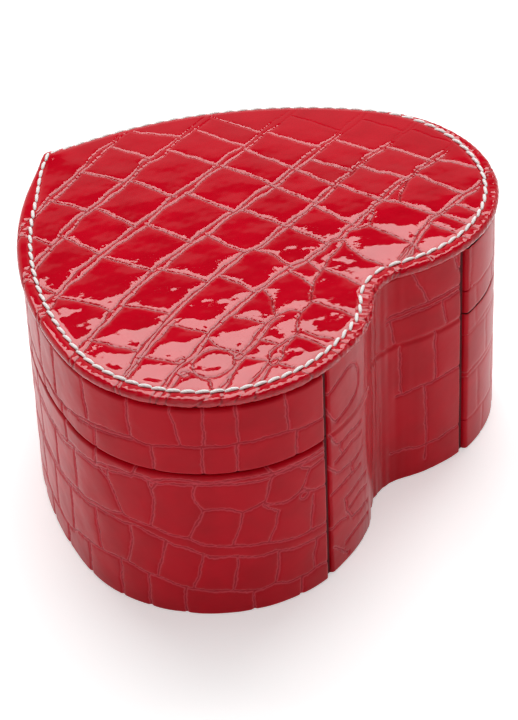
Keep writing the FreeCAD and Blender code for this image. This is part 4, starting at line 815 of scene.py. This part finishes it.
# %% Creases of the base's band
BASE_HIGH, BASE_FOOT = level_line(BASE_BAND[1] + 1), level_line(-1.0)
BASE_TOP = carry_on(
    [(-84, 36.4), (-82, 36.8), (-75, 38.5), (-70, 39), (-66, 39.3), (-62, 40.6), (-58, 41.3),
     (-53.5, 41.7), (-52, 42.4), (-47, 41.8), (-42, 42.6), (-30, 42.5), (-20, 42.2), (-10, 42.4),
     (5, 42.2)], 37.6, 0.9)
BASE_UPPER = carry_on(
    [(-84, 23.5), (-75, 25), (-70, 25.4), (-64, 26.2), (-60, 27), (-57.5, 27.9), (-55, 27.3), (-50, 27),
     (-47, 26.5), (-42, 25.2), (-38.5, 24.6), (-35, 23), (-28, 22), (-20, 21), (-15, 20), (-8, 19.3),
     (5, 19)], 24.4, 1.4)
BASE_LOWER = carry_on(
    [(-84, 22.3), (-78, 23.4), (-72, 23.8), (-65, 25), (-57, 25.3), (-53, 25.5), (-48, 24), (-42, 22),
     (-38, 21), (-36, 20), (-34, 18.9), (-28, 18.7), (-22, 17.2), (-17, 17.7), (-14, 16.5), (-8, 16),
     (5, 15)], 22.9, 1.4)
BASE_LOW = carry_on(
    [(-84, 7), (-78, 9), (-73, 10.2), (-67, 11.3), (-62, 12), (-56.5, 12.3), (-52, 11.2), (-48, 10.6),
     (-42, 9), (-38.5, 8.3), (-34, 7.8), (-28.5, 7.5), (-25, 6.4), (-22, 6.2), (-18, 7.2), (-14, 6),
     (-8, 5.8), (-5, 6.4), (5, 4)], 8.6, 1.2)
BASE_CREASES = [
    # Above the top row, and from it down
    [(-79.5, 46), (-79.3, 38)], [(-65, 46), (-65.5, 39.6)], [(-52, 46), (-52.8, 42)],
    [(-20, 46), (-17, 42.6)], [(-75.5, 38.5), (-75.3, 25)],
    [(-64.5, 39.3), (-61, 36.8), (-58.5, 31), (-56.5, 27.5)], [(-61, 40.4), (-61.5, 37.2)],
    [(-49, 41.2), (-48, 38.5), (-47.8, 33), (-48.8, 27)], [(-46.6, 41.4), (-48, 38.5)],
    [(-36.5, 42), (-37.5, 39), (-36.8, 36.5), (-35, 34.2)],
    [(-17, 42), (-18, 40), (-19, 35.5), (-19.6, 34)], [(-9.8, 41.8), (-6.5, 39.5), (5, 39.8)],
    [(-6.5, 39.2), (-8, 36), (-9.8, 33.4), (-12, 32.4)],
    # The short row beside the seam
    [(-35, 34.2), (-32, 34.3), (-28, 33.8), (-25.5, 32.2), (-22.5, 33.4), (-20, 34.3), (-18, 33),
     (-14, 32.2), (-11, 32.8), (-8.5, 34), (-6.5, 32.2), (-3, 31.2), (5, 31.2)],
    [(-20, 33.5), (-18.5, 31.6), (-15.8, 30)], [(-35, 34), (-37, 29.5), (-39, 25)],
    [(-25.3, 32), (-26.5, 27), (-28, 22.3)], [(-15.8, 30), (-17, 26), (-18.7, 21)],
    [(-5.5, 30), (-6, 25), (-6.8, 19.4)],
    # The lower row
    [(-79.8, 23.5), (-79.6, 15), (-80, 9)], [(-67, 24.3), (-66.5, 18), (-65.5, 12)],
    [(-54.8, 25.4), (-55.2, 17), (-56.7, 12.3)], [(-45.2, 22.8), (-46.5, 17), (-48, 10.8)],
    [(-35.9, 19.8), (-36.8, 14), (-38.5, 8.5)], [(-27, 18.6), (-27.6, 13), (-28.5, 7.6)],
    [(-16.2, 17.5), (-16.6, 12), (-17.8, 7)], [(-5, 15.8), (-5.7, 10), (-5.8, 6.5)],
    # The foot
    [(-71.3, 10.5), (-71.3, -1)], [(-58.9, 12.2), (-58.9, -1)], [(-50.5, 11), (-50.5, -1)],
    [(-40.8, 8.8), (-40.8, -1)], [(-23.5, 6.2), (-23.5, -1)], [(-10, 5.9), (-10.3, -1)],
]
base_creases = [smooth_path(path) for path in [BASE_UPPER, BASE_LOWER, BASE_LOW] + BASE_CREASES]
base_creases += [oval(-8.3, 31.8, 1.2, 1.0)]
base_creases += bricks(-75.5, (BASE_TOP, BASE_UPPER), (12, 13.5, 10, 14.5))
base_creases += bricks(-79.8, (BASE_LOWER, BASE_LOW), (11, 12, 9.5, 13))
base_creases += bricks(-71.3, (BASE_LOW, BASE_FOOT), (13, 12.5, 11))
base_creases += bricks(-79.5, (BASE_HIGH, BASE_TOP), (22, 27, 19))
base_twins = twin(BASE_TOP, 1.2)
print(len(base_creases) + len(base_twins), "creases on the base's band")

# %% The two bands
TURNED, FOOT_TURNED = 1.1, 0.4
SIDE_PRESS, RIDGE_MOST = 1.7, 0.02
# At the far seam: how far the split is closed, the stretch it opens in, and how much calmer the embossing is
CLOSED_MOST, CLOSED_STRETCH, CLOSED_CALM = 0.92, 34.0, 0.8
PATH_STEP, NEAR_LENGTH = 0.55, 90.0


def wall_shell(name, path, height, out, crease):
    """A shell of leather on the wall: the wall's outline at the path lengths, moved outward by out, at those
    heights. One row of long faces from the lower to the upper edge closes its back, on the wall."""
    xy, _ = walk(side_arcs, path, out)
    numbers = np.arange(path.size).reshape(path.shape)
    closing = np.column_stack((numbers[:, -1], numbers[:, 0]))
    faces = [grid_faces(numbers), grid_faces(closing)]
    return make_piece(name, np.dstack((xy, height)).reshape(-1, 3), faces, side_leather, {"crease": crease})


def side_band(name, band, edges, creases, twins, near_step, up_step):
    """A band of leather, from seam to seam round the tip: out is the thickness plus the embossing, times the
    turned edge. Towards the far seam the edges are fuller, so the split is tight, and the embossing is
    faint."""
    first, last = seam_far - side_round + SEAM_GAP / 2, seam_near - SEAM_GAP / 2
    places = stations(first, last, PATH_STEP, TURNED, (NEAR_LENGTH, near_step))
    path, height = np.meshgrid(places, stations(*band, up_step, edges), indexing="ij")
    closed = CLOSED_MOST * np.exp(-(((path - first) / CLOSED_STRETCH) ** 2))
    raised = closed + (1 - closed) * turned_edge(height, *band, edges)
    raised = turned_edge(path, first, last, TURNED) * raised
    relief, crease = pressed(path - seam_near, height, creases, twins)
    relief = np.minimum(SIDE_PRESS * (1 - CLOSED_CALM * closed) * relief, RIDGE_MOST)
    return wall_shell(name, path, height, (LEATHER + relief) * raised, crease + FAINT * closed)


# The lid's band stops a little below the lip, which leaves a dark joint there
LIP_JOINT = 0.9
lid_shown = (LID_BAND[0], LID_BAND[1] - LIP_JOINT)
lid_band = side_band("lid_side_leather", lid_shown, (TURNED, TURNED), lid_creases, [], 0.28, 0.26)
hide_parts("lid_side_cover")
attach(lid_band, "lid")
base_edges = (FOOT_TURNED, TURNED)
base_band = side_band("base_side_leather", BASE_BAND, base_edges, base_creases, base_twins, 0.34, 0.38)
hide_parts("base_side_cover")
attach(base_band, "base")

# %% [markdown]
# ## The hinge strip
# One piece of leather runs through the cleft from the lid's top to the bottom of the base, and it is the
# hinge: it bends at the split when the lid opens. Here it is one mesh, attached to neither the lid nor the
# base, and nothing in this script moves its points with them. Its back has no points at the split, so with
# the lid open that side is stretched straight from edge to edge, which is a fault. The strip lies a little
# lower than the bands, has soft upright folds where it is pressed into the cleft, and a flex crease at the
# split.

# %% Creases of the strip
# In millimetres from the near seam and in height, and for the far flank back from the far seam
STRIP_NEAR = [
    [(0.5, 57.5), (5, 59.1), (9.5, 60.5), (13.5, 59), (15, 55), (14.5, 51.3), (13, 49.9)],
    [(0.5, 53), (2, 49.5), (4, 47.8), (8, 48.4), (13, 49.9)],
    [(1.5, 44.5), (3.5, 41), (5, 39.8), (10, 39.8), (16, 39.4)],
    [(0.5, 35), (4, 31.5), (10, 30), (17, 30.4)], [(7, 20.5), (14, 21.2), (19, 21)],
    [(7, 20.5), (8, 16), (10, 13), (11, 11.8), (17, 11.3), (20, 10)], [(1, 14.5), (5, 15), (8, 14)],
    [(2, 8), (6, 4.5), (8, 2)], [(3, 35.2), (9, 36.1), (16, 36)], [(1.5, 25.6), (8, 26.4), (15, 26)],
    [(9, 16.4), (15, 17), (19, 16.2)], [(7, 6.4), (14, 7), (20, 6.2)],
    [(6, 39.8), (5.4, 37.5), (6.4, 35.8)], [(11, 30.1), (10.4, 28), (11.2, 26.3)],
]
STRIP_FAR = [
    [(-24.5, 54), (-20, 54.6), (-12, 55.2), (0, 55.2)],
    [(-24.5, 52.8), (-20, 53.2), (-12, 53.6), (0, 53.8)], [(-17.5, 66), (-15.5, 62), (-12.5, 55.5)],
    [(-3.5, 65.5), (-2, 61.5), (0, 58)], [(-7.5, 53.5), (-6.5, 46)], [(-23.5, 52.8), (-22.5, 45.5)],
    [(-10.2, 45), (-10, 29.5)], [(-21, 44), (-20.6, 29)], [(-22, 28.2), (-10, 29.2), (0, 29)],
    [(-13.5, 28.8), (-13, 14), (-13.4, 4)], [(-24, 10), (-13, 9), (0, 9.6)],
]

# %% Grid of the strip
STRIP_THICK, STRIP_LEAST, STRIP_TURNED = 0.95, 0.05, 0.8
strip_edges = (FOOT_TURNED, STRIP_TURNED)
strip_wide = seam_far - seam_near
strip_first, strip_last = seam_near + SEAM_GAP / 2, seam_far - SEAM_GAP / 2
strip_creases = [smooth_path(path) for path in STRIP_NEAR]
strip_creases += [smooth_path(np.array(path) + (strip_wide, 0)) for path in STRIP_FAR]
strip_path, strip_z = np.meshgrid(
    stations(strip_first, strip_last, 0.3, STRIP_TURNED), stations(*STRIP_BAND, 0.33, strip_edges),
    indexing="ij")
print(len(strip_creases), "creases on the hinge strip, a grid of", strip_path.shape)

# %% The strip
# Upright folds in the cleft: half the width they take, height, length and slant
FOLDS_WIDE, FOLDS_HIGH, FOLDS_LONG, FOLDS_SLANT = 13.0, 0.18, 3.6, 0.10
# The flex crease at the split and the low swelling round it, each as height and half width
FLEX_DEEP, FLEX_HALF, SWELL_HIGH, SWELL_HALF = -0.45, 0.7, 0.16, 2.4

strip_raised = turned_edge(strip_path, strip_first, strip_last, STRIP_TURNED)
strip_raised = strip_raised * turned_edge(strip_z, *STRIP_BAND, strip_edges)
strip_relief, strip_crease = pressed(strip_path - seam_near, strip_z, strip_creases, [])
in_cleft = np.exp(-(((strip_path - seam_near - strip_wide / 2) / FOLDS_WIDE) ** 2))
folds = FOLDS_HIGH * in_cleft * ripple(strip_path, strip_z * FOLDS_SLANT, FOLDS_LONG, 0.0)
flex = (FLEX_DEEP * np.exp(-(((strip_z - SPLIT) / FLEX_HALF) ** 2))
        + SWELL_HIGH * np.exp(-(((strip_z - SPLIT) / SWELL_HALF) ** 2)))
strip_out = STRIP_THICK + bridged(strip_path, side_round) + SIDE_PRESS * strip_relief + folds + flex
strip_out = np.maximum(strip_out, STRIP_LEAST) * strip_raised
strip = wall_shell("hinge_leather", strip_path, strip_z, strip_out, strip_crease)
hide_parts("hinge_strip_base", "hinge_strip_lid")
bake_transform(strip)

# %% [markdown]
# ## Finishes of the inside and the movement
# With the lid open the box shows cream velvet, a mirror and the ring rolls; the movement under the tray is
# brass, steel and cast zinc. Most of those shapes come from CAD and only need their real finishes.

# %% Functions for those finishes
VELVET_BRUSHED, VELVET_PILE = 4 * MM, 0.6 * MM


def velvet(name, light, dark):
    """Cut velvet: short upright pile, so it is darkest seen straight on and pale at its edges. A noise of
    about 4 mm is the pile brushed one way and another, and one of 0.6 mm is the pile itself."""
    material, tree, shader = new_finish(name, {"Roughness": 0.9, "Sheen Weight": 0.6, "Sheen Roughness": 0.4})
    place = add_node(tree, "ShaderNodeTexCoord").outputs["Object"]
    brushed = add_node(tree, "ShaderNodeTexNoise", {"Scale": 1 / VELVET_BRUSHED, "Detail": 4.0},
                       {"Vector": place})
    tone = add_node(tree, "ShaderNodeValToRGB", {"stops": [(0.3, dark), (0.7, light)]},
                    {"Fac": brushed.outputs["Fac"]})
    tree.links.new(tone.outputs["Color"], shader.inputs["Base Color"])
    pile = add_node(tree, "ShaderNodeTexNoise", {"Scale": 1 / VELVET_PILE, "Detail": 2.0}, {"Vector": place})
    bump = add_node(tree, "ShaderNodeBump", {"Strength": 0.5, "Distance": 0.15 * MM},
                    {"Height": pile.outputs["Fac"]})
    tree.links.new(bump.outputs["Normal"], shader.inputs["Normal"])
    return material


def grained(name, light, dark, grain_mm, stretch, relief_mm, settings):
    """Metal, glass, board, felt or plastic: a noise of that grain size, drawn out along the height by
    stretch as a machining or brushing mark is, changes the colour between two tones and raises the surface
    by relief_mm."""
    material, tree, shader = new_finish(name, settings)
    place = add_node(tree, "ShaderNodeTexCoord").outputs["Object"]
    stretched = add_node(tree, "ShaderNodeMapping", {"Scale": (1.0, 1.0, stretch)}, {"Vector": place})
    grain = add_node(tree, "ShaderNodeTexNoise", {"Scale": 1 / (grain_mm * MM), "Detail": 4.0},
                     {"Vector": stretched.outputs[0]}).outputs["Fac"]
    tone = add_node(tree, "ShaderNodeValToRGB", {"stops": [(0.33, dark), (0.67, light)]}, {"Fac": grain})
    tree.links.new(tone.outputs["Color"], shader.inputs["Base Color"])
    bump = add_node(tree, "ShaderNodeBump", {"Distance": relief_mm * MM}, {"Height": grain})
    tree.links.new(bump.outputs["Normal"], shader.inputs["Normal"])
    return material


# %% The finishes
satin_metal, bright_metal = {"Metallic": 1.0, "Roughness": 0.25}, {"Metallic": 1.0, "Roughness": 0.18}
mirror_metal = {"Metallic": 1.0, "Roughness": 0.02, "Coat Weight": 1.0, "Coat Roughness": 0.01}
felted = {"Roughness": 0.95, "Sheen Weight": 0.2}

cream_velvet = velvet("cream_velvet", "#E6D6BC", "#CBB795")
red_board = grained("red_paper_board", "#6A0D14", "#4E080E", 0.8, 1.0, 0.03, {"Roughness": 0.8})
grey_board = grained("grey_board", "#9C9183", "#857A6C", 0.9, 1.0, 0.04, {"Roughness": 0.9})
black_felt = grained("black_felt", "#2A2623", "#171412", 0.5, 1.0, 0.08, felted)
turned_brass = grained("turned_brass", "#D9B25E", "#B98F3F", 0.5, 6.0, 0.008, satin_metal)
lacquered_brass = grained("lacquered_brass", "#E0BC6A", "#C79D4C", 0.8, 1.0, 0.006, bright_metal)
spring_steel = grained("blued_spring_steel", "#8F939A", "#6E7279", 0.4, 8.0, 0.008, satin_metal)
nickel_plate = grained("nickel_plated_steel", "#CFCDC8", "#B8B5AE", 0.6, 1.0, 0.006, bright_metal)
cast_zinc = grained("cast_zinc", "#A9A9A6", "#8C8C89", 0.7, 1.0, 0.015, {"Metallic": 1.0, "Roughness": 0.45})
silvered_glass = grained("silvered_mirror_glass", "#EBF0EE", "#E4EAE8", 12.0, 1.0, 0.0005, mirror_metal)
white_acetal = grained("white_acetal", "#ECEAE4", "#E2DFD8", 1.5, 1.0, 0.006, {"Roughness": 0.35})

# %% The CAD nodes that have each finish
FINISHES = {
    cream_velvet: ["base_liner", "lid_liner", "tray"],
    red_board: ["base_wall", "lid_wall", "lid_top_board"],
    grey_board: ["bottom_board", "tray_supports"],
    silvered_glass: ["mirror"],
    cast_zinc: ["bedplate", "comb_base"],
    spring_steel: ["comb", "mainspring", "cylinder_arbor", "governor_worm", "winding_arbor"],
    nickel_plate: ["movement_screws", "comb_screws", "cylinder_bracket", "governor_frame", "stop_post",
                   "stop_lever", "barrel_cap"],
    turned_brass: ["pinned_cylinder", "drive_pinion", "cylinder_gear", "spring_barrel", "governor_wheel",
                   "governor_fan"],
    lacquered_brass: ["winding_key"],
    white_acetal: ["stop_plunger", "plunger_guide"],
}
for finish, names in FINISHES.items():
    for name in names:
        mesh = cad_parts[name].data
        mesh.materials.clear()
        mesh.materials.append(finish)
print(sum(len(names) for names in FINISHES.values()), "CAD nodes have finishes")

# %% [markdown]
# ## The ring rolls
# Four foam rolls covered in velvet lie side by side in the tray's trough and grip a ring between them. Soft
# rolls that press on each other are not round: their section is a superellipse, flatter where they touch,
# and their ends are drawn in.

# %% Rolls as padded pieces
ROLL_COUNT, ROLL_SQUARE, ROLL_END, ROLL_DIMPLE = 4, 2.5, 3.0, 0.02
roll_low, roll_high = (np.array(corner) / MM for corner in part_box("ring_rolls"))
roll_half = (roll_high - roll_low) / 2
roll_pitch = (roll_high[1] - roll_low[1] - 2 * roll_half[2]) / (ROLL_COUNT - 1)
roll_bend = ROLL_END * (1 - np.cos(np.linspace(0, math.pi / 2, 9)))[:-1]
roll_straight = np.linspace(-roll_half[0] + ROLL_END, roll_half[0] - ROLL_END, 49)
roll_places = np.concatenate((-roll_half[0] + roll_bend, roll_straight, (roll_half[0] - roll_bend)[::-1]))
roll_x, roll_turn = np.meshgrid(roll_places, np.linspace(0, 2 * math.pi, 33)[:-1], indexing="ij")
roll_cos, roll_sin = np.cos(roll_turn), np.sin(roll_turn)
section = (np.abs(roll_cos) ** ROLL_SQUARE + np.abs(roll_sin) ** ROLL_SQUARE) ** (-1 / ROLL_SQUARE)
drawn_in = turned_edge(roll_x, -roll_half[0], roll_half[0], ROLL_END)
dimple = 1 - ROLL_DIMPLE * (1 + ripple(roll_x, 4.5 * roll_turn, 16.0, 0.7))
roll_radius = roll_half[2] * section * drawn_in * dimple
roll_middle = (roll_low[2] + roll_high[2]) / 2
one_roll = np.stack((roll_x, roll_radius * roll_cos, roll_middle + roll_radius * roll_sin), -1)
roll_y = roll_low[1] + roll_half[2] + roll_pitch * np.arange(ROLL_COUNT)
roll_points = one_roll[None] + np.stack((0 * roll_y, roll_y, 0 * roll_y), -1)[:, None, None]
roll_one = grid_faces(np.arange(roll_x.size).reshape(roll_x.shape).T, wrap=True)
roll_faces = copied_faces(roll_one, ROLL_COUNT, roll_x.size)
rolls = make_piece("velvet_ring_rolls", roll_points.reshape(-1, 3), [roll_faces], cream_velvet)
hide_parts("ring_rolls")
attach(rolls, "base")

# %% [markdown]
# ## The felt under the box
# A heart of black felt is glued under the bottom board, with punched holes for the screws and the winding
# key. It is a square-ring grid like the lid's panel. Faces inside a hole are left out, and points of the
# other faces that fall inside it move out to its edge, which makes the hole round.

# %% Felt as a laid sheet
FELT_INSET, FELT_THICK, FELT_RINGS = 5.6, 0.7, 60
FELT_HOLES = [(-27.2, -23.0), (24.7, -23.0), (-27.2, 24.9), (-17.0, 2.0)]
HOLE_RADIUS = 3.3
# The air between felt and board, and the felt's unevenness
FELT_GAP, FELT_WAVE = 0.06, 0.05
felt_xy, _, felt_numbers, _, _ = heart_grid(heart_arcs(FELT_INSET, 0.0), FELT_RINGS, 0.0)
felt_xy = felt_xy.reshape(-1, 2)
felt_faces = grid_faces(felt_numbers)
for hole in FELT_HOLES:
    apart = felt_xy - hole
    reach = np.linalg.norm(apart, axis=1)
    felt_faces = felt_faces[~(reach[felt_faces] < HOLE_RADIUS).all(1)]
    inside = reach < HOLE_RADIUS
    felt_xy[inside] = hole + apart[inside] * (HOLE_RADIUS / np.maximum(reach[inside], 0.01))[:, None]
used, felt_faces = np.unique(felt_faces, return_inverse=True)
felt_faces, felt_xy = felt_faces.reshape(-1, 4), felt_xy[used]
felt_z = heights("bottom_felt")[1] - FELT_GAP + FELT_WAVE * ripple(*felt_xy.T, 14.0, 0.5)
felt = make_piece("base_felt", np.column_stack((felt_xy, felt_z)), [felt_faces[:, ::-1]], black_felt)
thickness = felt.modifiers.new("thickness", "SOLIDIFY")
thickness.thickness, thickness.offset = FELT_THICK * MM, 1.0
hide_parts("bottom_felt")
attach(felt, "base")

# %% [markdown]
# ## The studio
# The box stands on a white sweep under soft light. Glossy leather shows what surrounds it: a large soft box
# behind the box gives the pale patches on the near scales, the space under it is dim, so the middle of the
# lid stays deep red, and the pale horizon lightens the far scales.

# %% Floor and world
FLOOR_HALF = 4.0
floor_corners = [(FLOOR_HALF * x, FLOOR_HALF * y, 0) for x, y in ((-1, -1), (1, -1), (1, 1), (-1, 1))]
floor_mesh = bpy.data.meshes.new("floor")
floor_mesh.from_pydata(floor_corners, [], [(0, 1, 2, 3)])
floor = bpy.data.objects.new("floor", floor_mesh)
bpy.context.scene.collection.objects.link(floor)
floor_finish, tree, shader = new_finish("white_sweep", {
    "Base Color": linear("#F2F2F2"), "Roughness": 0.9, "Emission Color": linear("#B4B4B4")})
rays = add_node(tree, "ShaderNodeLightPath")
seen = add_node(tree, "ShaderNodeMath", {"operation": "ADD"},
                {0: rays.outputs["Is Camera Ray"], 1: rays.outputs["Is Glossy Ray"]})
seen = add_node(tree, "ShaderNodeMath", {"operation": "ADD", "use_clamp": True},
                {0: seen.outputs[0], 1: rays.outputs["Is Transmission Ray"]})
tree.links.new(seen.outputs[0], shader.inputs["Emission Strength"])
floor_mesh.materials.append(floor_finish)

# The sky's brightness by the sine of its elevation
SKY = [(0.0, "#D2D2D2"), (0.26, "#C6C6C6"), (0.42, "#ADADAD"), (0.50, "#9E9E9E"), (0.545, "#868686"),
       (0.571, "#3F3F3F"), (0.595, "#272727"), (0.91, "#3F3F3F"), (1.0, "#6C6C6C")]
world = bpy.data.worlds.new("studio")
bpy.context.scene.world = world
world.use_nodes = True
tree = world.node_tree
direction = add_node(tree, "ShaderNodeTexCoord").outputs["Generated"]
rise = add_node(tree, "ShaderNodeSeparateXYZ", links={"Vector": direction}).outputs["Z"]
sky = add_node(tree, "ShaderNodeValToRGB", {"stops": SKY}, {"Fac": rise})
tree.links.new(sky.outputs["Color"], tree.nodes["Background"].inputs["Color"])
print("floor and world made")

# %% Lamps
LAMP_AIM = np.array((0.0, 0.0, 0.069))


def soft_box(name, azimuth, elevation, distance, wide, high, power):
    """An area lamp at that direction, in degrees, and distance from the top of the box, facing it."""
    lamp = bpy.data.lights.new(name, "AREA")
    lamp.shape = "RECTANGLE"
    lamp.size, lamp.size_y, lamp.energy = wide, high, power
    axes = facing(math.radians(azimuth), math.radians(elevation))
    stand(name, lamp, axes, axes[2] * distance + LAMP_AIM)


soft_box("back_soft_box", 307.5, 52.7, 1.6, 1.8, 0.785, 19.5)
soft_box("top_lamp", 300.0, 78.0, 1.5, 0.7, 0.7, 7)
soft_box("front_soft_box", 110.0, 45.0, 1.8, 1.4, 1.4, 3)
print("three soft lamps")
